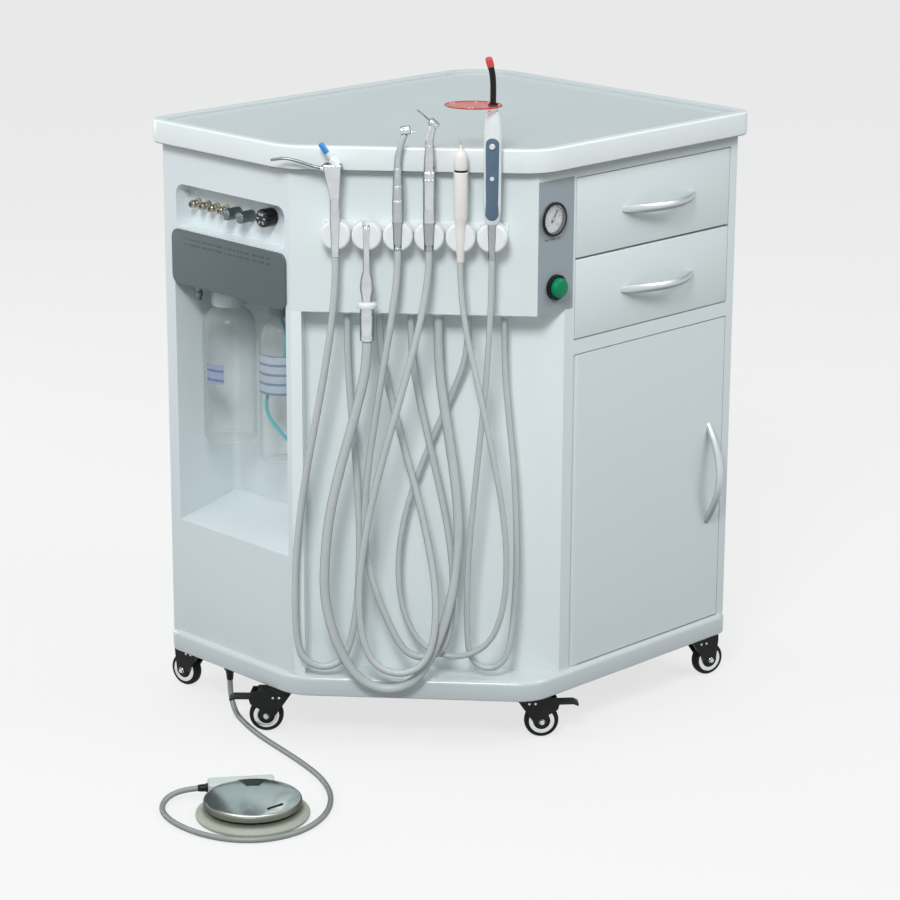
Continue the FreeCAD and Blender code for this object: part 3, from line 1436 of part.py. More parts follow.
# ---------------------------------------------------------------- hoses
# Each route starts under the instrument and runs to its socket on the console's underside. Its points are
# the distance along the console's front, the distance out of it, and the height.
hose_routes = {
    "syringe": [
        (66.5, 28, 722), (66.5, 28, 690), (61, 27, 630), (49, 24, 552), (36, 20, 483), (23, 17, 416),
        (13, 14, 350), (6, 14, 288), (4, 14, 228), (4, 13, 180), (8, 12, 142), (21, 12, 123), (43, 10, 115),
        (65, 7, 122), (79, 4, 141), (88, -1, 184), (93, -6, 242), (94, -11, 308), (91, -15, 378),
        (86, -19, 448), (80, -20, 516), (77, -20, 580),
    ],
    "suction": [
        (109.3, 28, 605), (109.3, 28, 568), (93, 28, 500), (71, 28, 420), (55, 28, 350), (48, 28, 284),
        (47, 28, 230), (57, 27, 180), (74, 25, 136), (98, 23, 101), (136, 22, 87), (174, 22, 100),
        (199, 20, 139), (219, 15, 194), (233, 7, 258), (236, -2, 332), (228, -9, 408), (216, -14, 482),
        (204, -20, 560),
    ],
    "high_speed": [
        (152.1, 28, 733), (152.1, 28, 700), (144, 28, 640), (131, 26, 563), (120, 23, 494), (110, 19, 425),
        (103, 16, 357), (104, 14, 298), (115, 13, 244), (135, 12, 190), (157, 11, 146), (179, 9, 134),
        (203, 7, 137), (220, 4, 155), (227, 1, 200), (228, -5, 258), (219, -12, 328), (203, -17, 400),
        (187, -18, 470), (173, -20, 534), (166, -20, 586),
    ],
    "low_speed": [
        (194.9, 28, 733), (194.9, 28, 700), (185, 31, 640), (168, 35, 570), (150, 37, 504), (132, 38, 439),
        (116, 38, 374), (104, 37, 308), (97, 37, 248), (98, 36, 195), (107, 35, 150), (125, 35, 126),
        (153, 34, 117), (181, 35, 126), (199, 33, 151), (206, 27, 196), (203, 16, 256), (190, 4, 320),
        (173, -7, 386), (154, -13, 452), (137, -17, 518), (122, -20, 580),
    ],
    "scaler": [
        (237.7, 28, 718), (237.7, 28, 684), (246, 31, 620), (262, 36, 552), (277, 38, 484), (291, 37, 416),
        (302, 34, 347), (306, 31, 278), (301, 27, 214), (284, 20, 166), (255, 10, 141), (221, -2, 132),
        (184, -9, 144), (158, -13, 184), (147, -17, 244), (151, -21, 310), (168, -26, 378),
        (194, -30, 446), (222, -30, 512), (246, -20, 576),
    ],
    "curing_light": [
        (280.5, 28, 722), (280.5, 28, 684), (278, 27, 619), (274, 24, 551), (268, 22, 482), (261, 18, 414),
        (255, 15, 348), (250, 11, 288), (248, 7, 230), (248, 2, 178), (250, -2, 142), (260, -4, 122),
        (278, -4, 115), (296, -4, 122), (307, -5, 140), (312, -6, 174), (316, -8, 232), (317, -11, 294),
        (315, -13, 358), (310, -17, 428), (302, -19, 498), (296, -20, 566),
    ],
}

for name, route in hose_routes.items():
    distance, radius = hose_sockets[name]
    socket_end = at_front(distance, hose_out, console_bottom - socket_length)
    hose = tube([at_front(*row) for row in route] + [socket_end], radius, "hose_" + name)
    save("hose_" + name, hose)

# the foot control's hose: from the box's left end over the floor to the gland under the plinth
gland_z = castor_height - foot_gland_length
foot_hose_start = pedal_point(pedal_box_left, pedal_box_front + 18, 14)
foot_hose_bend = pedal_point(pedal_box_left - 26, pedal_box_front + 18, 14)
foot_hose_route = [foot_hose_start, foot_hose_bend] + [Vector(*row) for row in [
    (-597, -55, 10), (-622, -67, 5), (-638, -93, 4), (-646, -132, 4), (-642, -180, 4),
    (-622, -224, 4), (-585, -254, 4), (-534, -263, 4), (-478, -245, 4), (-430, -203, 4), (-399, -149, 4),
    (-382, -90, 4), (-370, -32, 4), (-360, 20, 4), (-350, 57, 4), (-337.5, 93, 4), (-328.6, 116.3, 6),
    (-321.9, 132.6, 16.2), (-318, 142, 33.8),
]] + [foot_gland + up * gland_z]
save("hose_foot_control", tube(foot_hose_route, foot_hose_radius, "hose_foot_control"))

# the dip tube, loosely curled inside the small bottle
small_axis = Vector(bottle_x, small_bottle_y, 0)
dip_route = [small_axis + Vector(*row) for row in [
    (0, 0, small_neck_z + neck_height + fit_gap), (0, 0, 604), (3, -5, 588), (4, -8, 560), (-2, -6, 533),
    (-13, 0, 510), (-22, 9, 486), (-20, 8, 461), (-13, -6, 441), (-2, -18, 424), (8, -20, 408),
]]
save("bottle_tube", tube(dip_route, tube_radius, "bottle_tube"))
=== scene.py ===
import math

import bmesh
import bpy
from mathutils import Matrix, Vector


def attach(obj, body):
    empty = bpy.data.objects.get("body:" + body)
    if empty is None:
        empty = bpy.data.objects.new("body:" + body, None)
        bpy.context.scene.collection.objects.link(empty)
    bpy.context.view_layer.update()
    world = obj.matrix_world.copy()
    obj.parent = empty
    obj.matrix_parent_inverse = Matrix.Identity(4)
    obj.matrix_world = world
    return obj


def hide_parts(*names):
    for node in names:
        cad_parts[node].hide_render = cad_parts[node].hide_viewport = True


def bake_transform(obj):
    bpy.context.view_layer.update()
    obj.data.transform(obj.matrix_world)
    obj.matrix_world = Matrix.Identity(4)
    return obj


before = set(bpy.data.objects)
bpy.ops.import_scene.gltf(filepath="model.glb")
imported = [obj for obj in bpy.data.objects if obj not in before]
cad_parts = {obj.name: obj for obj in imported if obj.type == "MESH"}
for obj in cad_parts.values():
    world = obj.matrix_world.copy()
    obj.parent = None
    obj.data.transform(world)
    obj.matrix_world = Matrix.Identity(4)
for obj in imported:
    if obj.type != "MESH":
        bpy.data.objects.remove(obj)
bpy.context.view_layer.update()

# ---------------------------------------------------------------- Camera
# A long lens at the height of a standing person's eyes, about four metres from the cut corner,
# looking a little down so that the tray, the bottle bay and the drawer side all show.
camera_place = (-2.81906, -2.97678, 1.62651)
heading, looking_down, roll = 45.207, 16.682, 0.253
camera = bpy.data.objects.new("camera", bpy.data.cameras.new("camera"))
camera.data.sensor_width = 36.0
camera.data.lens = 117.985
camera.data.clip_end = 60.0
camera.matrix_world = (
    Matrix.Translation(camera_place)
    @ Matrix.Rotation(math.radians(heading - 90.0), 4, "Z")
    @ Matrix.Rotation(math.radians(90.0 - looking_down), 4, "X")
    @ Matrix.Rotation(math.radians(roll), 4, "Z")
)
bpy.context.scene.collection.objects.link(camera)
bpy.context.scene.camera = camera


# ---------------------------------------------------------------- Studio
# A pale seamless floor, a high lamp to the left of the cut corner, weaker ones at the sides, above and
# behind, and a room that is pale in front of the unit and dark behind it, so that polished metal gets
# dark edges.
class Wire:
    """One socket of a finish, which can be added, multiplied and fed to other nodes."""

    def __init__(self, socket):
        self.socket = socket

    def node(self, kind, settings=None, values=None, output=0):
        """Adds a node with its settings and its sockets' values or wires, and gives its output."""
        made = self.socket.id_data.nodes.new(kind)
        for name, value in (settings or {}).items():
            setattr(made, name, value)
        for name, value in (values or {}).items():
            feed(made.inputs[name], value)
        return Wire(made.outputs[output])

    def maths(self, operation, *values):
        return self.node("ShaderNodeMath", {"operation": operation}, dict(enumerate(values)))

    def __add__(self, other):
        return self.maths("ADD", self, other)

    __radd__ = __add__

    def __sub__(self, other):
        return self.maths("SUBTRACT", self, other)

    def __rsub__(self, other):
        return self.maths("SUBTRACT", other, self)

    def __mul__(self, other):
        return self.maths("MULTIPLY", self, other)

    __rmul__ = __mul__

    def fade(self, low, high):
        """0 below low and 1 above high, smooth between."""
        return self.node("ShaderNodeMapRange", {"interpolation_type": "SMOOTHSTEP"},
                         {"Value": self, "From Min": low, "From Max": high})

    def tint(self, under, over):
        """One colour where this is 0 and the other where it is 1, each a wire or a screen's three numbers."""
        under, over = (each if isinstance(each, Wire) else shade(*each) for each in (under, over))
        return self.node("ShaderNodeMix", {"data_type": "RGBA"}, {0: self, 6: under, 7: over}, 2)

    def part(self, axis):
        """One of the three numbers of a place: X, Y or Z."""
        return self.node("ShaderNodeSeparateXYZ", None, {0: self}, axis)

    def scaled(self, x, y, z):
        return self.node("ShaderNodeVectorMath", {"operation": "MULTIPLY"}, {0: self, 1: (x, y, z)})

    def clouds(self, size, detail=2.0, warp=0.0):
        """Soft random patches about size metres across, from 0 to 1."""
        return self.node("ShaderNodeTexNoise", None,
                         {"Vector": self, "Scale": 1.0 / size, "Detail": detail, "Distortion": warp})

    def sidelong(self):
        """0 where the surface is seen square on and 1 along its outline."""
        return self.node("ShaderNodeLayerWeight", None, {"Blend": 0.5}, 1)

    def relief(self, height, depth):
        """Bumps of height 0 to 1 that stand depth metres out of the surface."""
        return self.node("ShaderNodeBump", None, {"Height": height, "Distance": depth, "Strength": 1.0})


def feed(socket, value):
    """Sets a socket to a value, or links a wire to it."""
    if isinstance(value, Wire):
        socket.id_data.links.new(value.socket, socket)
    else:
        socket.default_value = value


def shade(red, green, blue):
    """A colour as a screen shows it, each 0 to 255, as the shader wants it."""
    linear = [((c / 255 + 0.055) / 1.055) ** 2.4 if c > 10 else c / 3295 for c in (red, green, blue)]
    return (*linear, 1.0)


def finish(name, recipe):
    """A finish whose recipe is given the object's coordinates and returns the shader's sockets."""
    material = bpy.data.materials.new(name)
    material.use_nodes = True
    tree = material.node_tree
    shader = tree.nodes["Principled BSDF"]
    place = Wire(tree.nodes.new("ShaderNodeTexCoord").outputs["Object"])
    for socket, value in recipe(place).items():
        feed(shader.inputs[socket], value)
    return material


def seen_or_mirrored(wire):
    """1 for rays from the camera or off polished metal, 0 for the rays that light other surfaces."""
    return wire.maths("MAXIMUM", wire.node("ShaderNodeLightPath"), wire.node("ShaderNodeLightPath", output=3))


def seamless_floor(at):
    """Pale paper: seen directly, most of its tone is its own, so that shadows on it stay light."""
    seen = seen_or_mirrored(at)
    return {"Base Color": seen.tint((148, 148, 148), (112, 112, 112)),
            "Emission Color": seen.tint((0, 0, 0), (221, 221, 221)), "Emission Strength": 1.0,
            "Roughness": 0.9, "Specular IOR Level": 0.1}


floor_sheet = bmesh.new()
bmesh.ops.create_grid(floor_sheet, x_segments=8, y_segments=8, size=30.0)
floor_mesh = bpy.data.meshes.new("studio_floor")
floor_sheet.to_mesh(floor_mesh)
floor_sheet.free()
floor_mesh.materials.append(finish("studio_floor", seamless_floor))
floor = bpy.data.objects.new("studio_floor", floor_mesh)
floor.location.z = -0.0005
bpy.context.scene.collection.objects.link(floor)

room = bpy.data.worlds.new("room")
room.use_nodes = True
room_tree = room.node_tree
direction = Wire(room_tree.nodes.new("ShaderNodeTexCoord").outputs["Generated"])
seen = direction.node("ShaderNodeLightPath")
mirrored = direction.node("ShaderNodeLightPath", output=3)
sky = direction.part(2).fade(-0.1, 0.9).tint((112, 114, 116), (190, 192, 194))
in_front = (direction.part(0) * -0.69 + direction.part(1) * -0.72).fade(-0.75, 0.1)
mirror = in_front.tint((84, 88, 90), (238, 238, 238))
tone = seen.tint(mirrored.tint(sky, mirror), (238, 238, 238))
room_tree.links.new(tone.socket, room_tree.nodes["Background"].inputs["Color"])
bpy.context.scene.world = room


def lamp(name, place, target, size, watts):
    """A square soft box at place that faces target."""
    light = bpy.data.lights.new(name, "AREA")
    light.size = size
    light.energy = watts
    holder = bpy.data.objects.new(name, light)
    place, target = Vector(place), Vector(target)
    aim = (target - place).to_track_quat("-Z", "Y").to_matrix().to_4x4()
    holder.matrix_world = Matrix.Translation(place) @ aim
    bpy.context.scene.collection.objects.link(holder)


lamp("front_soft_box", (-2.4, -1.8, 3.0), (0.1, 0.0, 0.75), 0.9, 84.0)
lamp("left_soft_box", (-2.2, 0.95, 2.3), (0.1, 0.0, 0.8), 1.4, 15.0)
lamp("right_soft_box", (1.5, -2.2, 2.75), (0.2, 0.0, 0.9), 1.4, 35.0)
lamp("top_soft_box", (0.4, 0.6, 3.4), (0.1, 0.0, 0.6), 2.6, 22.0)
lamp("back_soft_box", (-0.6, 2.9, 0.95), (0.1, 0.2, 0.45), 1.2, 18.0)
bpy.context.scene.view_settings.view_transform = "Standard"

# ---------------------------------------------------------------- Instrument hoses
# Six soft grey tubes, each from the foot of an instrument down in a long loop and up again into its
# socket under the console.
FRONT_START = Vector((-180.5, -4.0, 0.0))
ALONG_FRONT = Vector((225.0, -258.0, 0.0)).normalized()
OUT_OF_FRONT = Vector((-258.0, -225.0, 0.0)).normalized()


def at_front(distance, out, z):
    """A point by its distance along the cut corner's front, out of it and up: millimetres in, metres out."""
    return (FRONT_START + ALONG_FRONT * distance + OUT_OF_FRONT * out + Vector((0.0, 0.0, z))) / 1000.0


def from_cabinet(x, y, z):
    """A point measured from the middle of the cabinet's footprint: millimetres in, metres out."""
    return Vector((x + 141.5, y + 2.0, z)) / 1000.0


def smooth_line(name, points, radius=0.0):
    """A smooth line with the points as its control points, round if it is given a radius."""
    line = bpy.data.curves.new(name, "CURVE")
    line.dimensions = "3D"
    line.resolution_u = 10
    line.bevel_depth = radius
    line.bevel_resolution = 5
    line.use_fill_caps = True
    spline = line.splines.new("NURBS")
    spline.points.add(len(points) - 1)
    for knot, place in zip(spline.points, points):
        knot.co = (*place, 1.0)
    spline.order_u = 3
    spline.use_endpoint_u = True
    return bpy.data.objects.new(name, line)


def grey_silicone(tone, dark):
    def recipe(at):
        """Soft extruded tube: faint cloudy patches, handling marks, a satin skin, and painted shade towards
        its outline.
        """
        patches = at.clouds(0.04, 3.0)
        marks = at.clouds(0.006, 4.0).fade(0.55, 0.8)
        # painted shade: the colour darkens towards the tube's outline
        edge = at.sidelong().fade(0.35, 0.85)
        return {"Base Color": (patches * 0.2 + marks * 0.1 + edge * 0.7).tint(tone, dark),
                "Roughness": 0.34 + at.clouds(0.012, 2.0) * 0.22,
                "Coat Weight": 0.12, "Coat Roughness": 0.3,
                "Normal": at.relief(at.clouds(0.0022, 2.0), 0.00006)}
    return recipe


hose_finish = finish("light_grey_hose", grey_silicone((196, 203, 203), (118, 128, 131)))
# each place is a distance along the cut corner's front, out of it and up
hose_routes = {
    "syringe": [
        (66.5, 28, 722), (66.5, 28, 690), (61, 27, 630), (49, 24, 552), (36, 20, 483), (23, 17, 416),
        (13, 14, 350), (6, 14, 288), (4, 14, 228), (4, 13, 180), (8, 12, 142), (21, 12, 123), (43, 10, 115),
        (65, 7, 122), (79, 4, 141), (88, -1, 184), (93, -6, 242), (94, -11, 308), (91, -15, 378),
        (86, -19, 448), (80, -20, 516), (77, -20, 580), (77, -20, 631)],
    "suction_handpiece": [
        (109.3, 28, 605), (109.3, 28, 568), (93, 28, 500), (71, 28, 420), (55, 28, 350), (48, 28, 284),
        (47, 28, 230), (57, 27, 180), (74, 25, 136), (98, 23, 101), (136, 22, 87), (174, 22, 100),
        (199, 20, 139), (219, 15, 194), (233, 7, 258), (236, -2, 332), (228, -9, 408), (216, -14, 482),
        (204, -20, 560), (204, -20, 631)],
    "high_speed_handpiece": [
        (152.1, 28, 733), (152.1, 28, 700), (144, 28, 640), (131, 26, 563), (120, 23, 494), (110, 19, 425),
        (103, 16, 357), (104, 14, 298), (115, 13, 244), (135, 12, 190), (157, 11, 146), (179, 9, 134),
        (203, 7, 137), (220, 4, 155), (227, 1, 200), (228, -5, 258), (219, -12, 328), (203, -17, 400),
        (187, -18, 470), (173, -20, 534), (166, -20, 586), (166, -20, 631)],
    "low_speed_handpiece": [
        (194.9, 28, 733), (194.9, 28, 700), (185, 31, 640), (168, 35, 570), (150, 37, 504), (132, 38, 439),
        (116, 38, 374), (104, 37, 308), (97, 37, 248), (98, 36, 195), (107, 35, 150), (125, 35, 126),
        (153, 34, 117), (181, 35, 126), (199, 33, 151), (206, 27, 196), (203, 16, 256), (190, 4, 320),
        (173, -7, 386), (154, -13, 452), (137, -17, 518), (122, -20, 580), (122, -20, 631)],
    "ultrasonic_scaler": [
        (237.7, 28, 718), (237.7, 28, 684), (246, 31, 620), (262, 36, 552), (277, 38, 484), (291, 37, 416),
        (302, 34, 347), (306, 31, 278), (301, 27, 214), (284, 20, 166), (255, 10, 141), (221, -2, 132),
        (184, -9, 144), (158, -13, 184), (147, -17, 244), (151, -21, 310), (168, -26, 378),
        (194, -30, 446), (222, -30, 512), (246, -20, 576), (246, -20, 631)],
    "curing_light": [
        (280.5, 28, 722), (280.5, 28, 684), (278, 27, 619), (274, 24, 551), (268, 22, 482), (261, 18, 414),
        (255, 15, 348), (250, 11, 288), (248, 7, 230), (248, 2, 178), (250, -2, 142), (260, -4, 122),
        (278, -4, 115), (296, -4, 122), (307, -5, 140), (312, -6, 174), (316, -8, 232), (317, -11, 294),
        (315, -13, 358), (310, -17, 428), (302, -19, 498), (296, -20, 566), (296, -20, 631)],
}
# the CAD node that each hose stands for, its thickness and its length
hose_nodes = {"syringe": ("hose_syringe", 0.0100, 1.168),
              "suction_handpiece": ("hose_suction", 0.0136, 1.146),
              "high_speed_handpiece": ("hose_high_speed", 0.0100, 1.155),
              "low_speed_handpiece": ("hose_low_speed", 0.0100, 1.205),
              "ultrasonic_scaler": ("hose_scaler", 0.0084, 1.187),
              "curing_light": ("hose_curing_light", 0.0084, 1.154)}
for instrument, route in hose_routes.items():
    node, thickness, length = hose_nodes[instrument]
    points = [at_front(*place) for place in route]
    centre_line = bpy.data.meshes.new_from_object(smooth_line(instrument + "_line", points))
    hose_mesh = bpy.data.meshes.new_from_object(smooth_line(instrument + "_skin", points, thickness / 2))
    hose_mesh.shade_smooth()
    hose_mesh.materials.clear()
    hose_mesh.materials.append(hose_finish)
    hose = bpy.data.objects.new(node + "_tube", hose_mesh)
    bpy.context.scene.collection.objects.link(hose)
    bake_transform(hose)
    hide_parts(node)

# ---------------------------------------------------------------- Foot control's hose
# A stiffer grey tube, from the hose box of the foot control once round it on the floor and up to
# the gland under the plinth, beside the front left castor.
PEDAL_CENTRE = Vector((-545.0, -169.0, 0.0))
PEDAL_TURN = Matrix.Rotation(math.radians(-36.0), 4, "Z")


def at_pedal(x, y, z):
    """A point measured from the foot control's middle, along its own sides: millimetres in, metres out."""
    return from_cabinet(*(PEDAL_CENTRE + PEDAL_TURN @ Vector((x, y, z))))


foot_hose_points = [at_pedal(-56, 70, 14), at_pedal(-82, 70, 14)] + [from_cabinet(*place) for place in (
    (-597, -55, 10), (-622, -67, 5), (-638, -93, 4), (-646, -132, 4), (-642, -180, 4), (-622, -224, 4),
    (-585, -254, 4), (-534, -263, 4), (-478, -245, 4), (-430, -203, 4), (-399, -149, 4), (-382, -90, 4),
    (-370, -32, 4), (-360, 20, 4), (-350, 57, 4), (-337.5, 93, 4), (-328.6, 116.3, 6), (-321.9, 132.6, 16.2),
    (-318, 142, 33.8), (-318, 142, 50))]
foot_hose = smooth_line("foot_control_hose", foot_hose_points, 0.004)
foot_hose.data.materials.append(finish("dark_hose", grey_silicone((146, 152, 149), (66, 72, 70))))
bpy.context.scene.collection.objects.link(foot_hose)
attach(foot_hose, "cabinet")
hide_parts("hose_foot_control")

# ---------------------------------------------------------------- Dip tube
# A thin teal tube inside the small bottle, from its screw head down in a slack curl to the bottom.
BOTTLES_X, LARGE_Y, SMALL_Y = -265, 192, 80
dip_points = [from_cabinet(BOTTLES_X + x, SMALL_Y + y, z) for x, y, z in (
    (0, 0, 624.3), (0, 0, 604), (3, -5, 588), (4, -8, 560), (-2, -6, 533), (-13, 0, 510), (-22, 9, 486),
    (-20, 8, 461), (-13, -6, 441), (-2, -18, 424), (8, -20, 408))]
dip_tube = smooth_line("bottle_dip_tube", dip_points, 0.0026)


def teal_plastic(at):
    """Clouded teal tube with a slightly uneven skin."""
    return {"Base Color": at.clouds(0.02, 2.0).tint((64, 178, 184), (84, 190, 194)),
            "Roughness": 0.3 + at.clouds(0.005) * 0.15, "Coat Weight": 0.3,
            "Normal": at.relief(at.clouds(0.0015), 0.00004)}


dip_tube.data.materials.append(finish("teal_tube", teal_plastic))
bpy.context.scene.collection.objects.link(dip_tube)
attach(dip_tube, "cabinet")
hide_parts("bottle_tube")

# ---------------------------------------------------------------- Worktop
# One thick moulded top with a raised, rounded rim and a sunk tray of greenish grey laminate. It
# overhangs the cabinet by 16 mm all round and hides the panels' upper edges.
CABINET = Matrix.Translation((0.1415, 0.002, 0.0)) @ Matrix.Scale(0.001, 4)
UPRIGHT = Vector((0.0, 0.0, 1.0))
body_plan = [(-322, 264), (-322, -6), (-97, -264), (322, -264), (322, 218), (276, 264)]


def grown(plan, distance):
    """A closed plan outline moved outwards by distance, its corners kept sharp."""
    moved = []
    for before, here, after in zip(plan[-1:] + plan[:-1], plan, plan[1:] + plan[:1]):
        first = (Vector(here) - Vector(before)).normalized()
        second = (Vector(after) - Vector(here)).normalized()
        sides = Vector((first.y, -first.x)) + Vector((second.y, -second.x))
        moved.append(Vector(here) + sides * (2 * distance / sides.length_squared))
    return moved


def new_points(form, before):
    """The points that a form has got since before."""
    return [v for v in form.verts if v not in before]


def new_faces(form, before):
    """The faces that a form has got since before."""
    return [f for f in form.faces if not any(v in before for v in f.verts)]


def creases(form, degrees):
    """The edges where two faces meet at more than this angle."""
    return [e for e in form.edges if len(e.link_faces) == 2 and e.calc_face_angle() > math.radians(degrees)]


def above(form, level):
    """The edges that lie wholly above this height."""
    return [e for e in form.edges if all(v.co.z > level for v in e.verts)]


def run(edge, axis):
    """How far an edge runs along X, Y or Z."""
    return abs(edge.verts[0].co[axis] - edge.verts[1].co[axis])


def ease(form, edges, radius, steps):
    """Rounds edges to a radius."""
    bmesh.ops.bevel(form, geom=edges, offset=radius, offset_type="OFFSET", segments=steps, profile=0.5,
                    affect="EDGES", clamp_overlap=True, material=-1)


def pull(form, faces, by, hollow=False):
    """Extrudes faces by a vector. The first faces stay as the far side, or go where a hollow is sunk."""
    moved = bmesh.ops.extrude_face_region(form, geom=faces)["geom"]
    if hollow:
        bmesh.ops.delete(form, geom=faces, context="FACES_ONLY")
    bmesh.ops.translate(form, vec=by, verts=[v for v in moved if isinstance(v, bmesh.types.BMVert)])


def settle(form, before, soft=0.0, tone=0):
    """Cleans what was just added to a form, rounds its edges by soft and gives it one of the finishes."""
    bmesh.ops.remove_doubles(form, verts=new_points(form, before), dist=1e-4)
    bmesh.ops.recalc_face_normals(form, faces=new_faces(form, before))
    if soft:
        ease(form, [e for e in creases(form, 24) if not any(v in before for v in e.verts)], soft, 2)
    for face in new_faces(form, before):
        face.material_index = tone
    return new_points(form, before)


def slab(form, plan, low, high, corner=0.0, soft=0.0, tone=0):
    """An upright slab on a plan outline, its upright edges rounded to corner and the rest by soft."""
    before = set(form.verts)
    foot = form.faces.new([form.verts.new((x, y, low)) for x, y in plan])
    if corner:
        bmesh.ops.bevel(form, geom=list(foot.verts), offset=corner, offset_type="OFFSET", segments=8,
                        profile=0.5, affect="VERTICES", material=-1)
    pull(form, new_faces(form, before), (0, 0, high - low))
    return settle(form, before, soft, tone)


def block(form, low, high, soft=0.0, tone=0):
    """A block between two corners, its edges rounded by soft."""
    before = set(form.verts)
    made = bmesh.ops.create_cube(form, size=1.0)["verts"]
    low, high = Vector(low), Vector(high)
    bmesh.ops.scale(form, vec=high - low, verts=made)
    bmesh.ops.translate(form, vec=(low + high) / 2, verts=made)
    return settle(form, before, soft, tone)


def turned(form, profile, foot=(0, 0, 0), axis=(0, 0, 1), soft=0.0, tone=0, steps=40):
    """A turned shape from (radius, height) points, standing on foot along axis."""
    before = set(form.verts)
    knots = [form.verts.new((radius, 0, level)) for radius, level in profile]
    line = [form.edges.new(pair) for pair in zip(knots, knots[1:])]
    bmesh.ops.spin(form, geom=knots + line, cent=(0, 0, 0), axis=(0, 0, 1), angle=2 * math.pi, steps=steps,
                   use_merge=True)
    new = settle(form, before, soft, tone)
    to_axis = UPRIGHT.rotation_difference(Vector(axis)).to_matrix().to_4x4()
    bmesh.ops.transform(form, matrix=Matrix.Translation(foot) @ to_axis, verts=new)
    return new


def put(name, form, place, finishes, body, *stands_for, slot=None, sharp=36.0):
    """Makes a form a finished piece, brought to its place, that rides on a body and stands for CAD nodes."""
    bmesh.ops.transform(form, matrix=place, verts=form.verts)
    bmesh.ops.recalc_face_normals(form, faces=form.faces)
    mesh = bpy.data.meshes.new(name)
    form.to_mesh(mesh)
    form.free()
    mesh.shade_smooth()
    mesh.set_sharp_from_angle(angle=math.radians(sharp))
    for each in finishes:
        mesh.materials.append(each)
    made = bpy.data.objects.new(name, mesh)
    bpy.context.scene.collection.objects.link(made)
    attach(made, body)
    if stands_for:
        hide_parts(*stands_for)
    return made


def lacquer(tone, dark, gloss=0.32):
    def recipe(at):
        """Lacquer or glossy moulding: a trace of orange peel, cloudy gloss, faint scuffs, grime near the
        floor, and painted shade lower down.
        """
        peel = at.clouds(0.004, 2.0)
        scuffs = at.scaled(1.0, 1.0, 6.0).clouds(0.03, 5.0, 0.6).fade(0.68, 0.8)
        grime = (1 - at.part(2).fade(0.06, 0.2)) * at.clouds(0.06, 4.0) * 0.5
        # painted shade: the colour darkens towards the bottom, as if lit from above
        painted_low_shade = (1 - at.part(2).fade(0.08, 0.75)) * 0.45
        return {"Base Color": (grime + painted_low_shade + scuffs * 0.05 + at.clouds(0.35, 2.0) * 0.25).tint(tone, dark),
                "Roughness": at.clouds(0.08, 4.0) * 0.12 + (gloss - 0.06) + scuffs * 0.05,
                "Coat Weight": 0.25, "Coat Roughness": 0.15,
                "Normal": at.relief(peel, 0.00003)}
    return recipe


white_lacquer = finish("white_lacquer", lacquer((223, 233, 234), (204, 215, 217)))
moulded_white = finish("moulded_white", lacquer((228, 237, 238), (210, 221, 223), 0.26))


def tray_laminate(at):
    """Fine satin grain with very faint wiping marks in the sunk tray."""
    wipes = at.scaled(1.0, 5.0, 1.0).clouds(0.12, 5.0, 1.2).fade(0.6, 0.85)
    grain = at.clouds(0.0012, 3.0)
    return {"Base Color": (wipes * 0.3 + grain * 0.35).tint((180, 190, 191), (169, 179, 180)),
            "Roughness": 0.52 + at.clouds(0.1, 4.0) * 0.14 + wipes * 0.06,
            "Specular IOR Level": 0.3, "Normal": at.relief(grain, 0.00004)}


def worktop_plastic(at):
    """White moulding with painted shade that greys the flat of its rim and a painted shadow line under its
    lower edge.
    """
    up = at.part(2)
    # painted shadow: a dark grey line along the lowest part of the rim, under the overhang
    painted_shadow_line = 1 - up.fade(0.8392, 0.8408)
    # painted shade: the flat top of the rim a little greyer
    rim = up.fade(0.8712, 0.8719)
    haze = at.clouds(0.08, 4.0)
    return {"Base Color": (painted_shadow_line * 0.8 + rim * 0.24 + haze * 0.06).tint((233, 241, 242), (110, 119, 122)),
            "Roughness": 0.3 + haze * 0.1, "Coat Weight": 0.1, "Coat Roughness": 0.2,
            "Normal": at.relief(at.clouds(0.004, 2.0), 0.00003)}


top = bmesh.new()
slab(top, grown(body_plan, 16), 838, 872, corner=24)
upper = [f for f in top.faces if f.normal.z > 0.9]
bmesh.ops.inset_region(top, faces=upper, thickness=17.0, use_even_offset=True)
pull(top, [f for f in top.faces if f.normal.z > 0.9 and len(f.verts) > 8], (0, 0, -6), hollow=True)
ease(top, [e for e in creases(top, 60) if run(e, 2) < 0.1], 3.6, 4)
# the tray's floor and its inner walls are laminate
for face in top.faces:
    middle = face.calc_center_median()
    inward = face.normal.x * middle.x + face.normal.y * middle.y < -9.0
    face.material_index = 1 if inward or (middle.z < 866.5 and face.normal.z > 0.9) else 0
worktop_finishes = [finish("worktop_plastic", worktop_plastic), finish("tray_laminate", tray_laminate)]
put("worktop_top", top, CABINET, worktop_finishes, "cabinet", "worktop", slot="tray")

# ---------------------------------------------------------------- Base plinth
# A white moulded skirt under the panels, 8 mm proud of them, with a rounded upper edge. The foot
# control's hose goes up through a black gland in its underside.
plinth = bmesh.new()
slab(plinth, grown(body_plan, 8), 70, 100, corner=24)
ease(plinth, above(plinth, 99), 7.0, 5)
ease(plinth, [e for e in plinth.edges if all(v.co.z < 71 for v in e.verts)], 2.5, 3)
# painted shade: the plinth is a greyer copy of the white moulding, toning down the light on it
plinth_shaded_plastic = finish("plinth_shaded_plastic", lacquer((214, 223, 225), (196, 206, 209), 0.3))
put("plinth_skirt", plinth, CABINET, [plinth_shaded_plastic], "cabinet", "base_plinth", slot="white_plastic")


def satin_black(tone, dark, gloss, shine=0.2):
    def recipe(at):
        """Black moulding: fine spark-eroded grain, rubbed a little paler in patches."""
        rubbed = at.clouds(0.012, 4.0).fade(0.5, 0.8)
        return {"Base Color": rubbed.tint(tone, dark), "Roughness": gloss + at.clouds(0.01, 3.0) * 0.18,
                "Specular IOR Level": shine, "Normal": at.relief(at.clouds(0.0009, 2.0), 0.00005)}
    return recipe


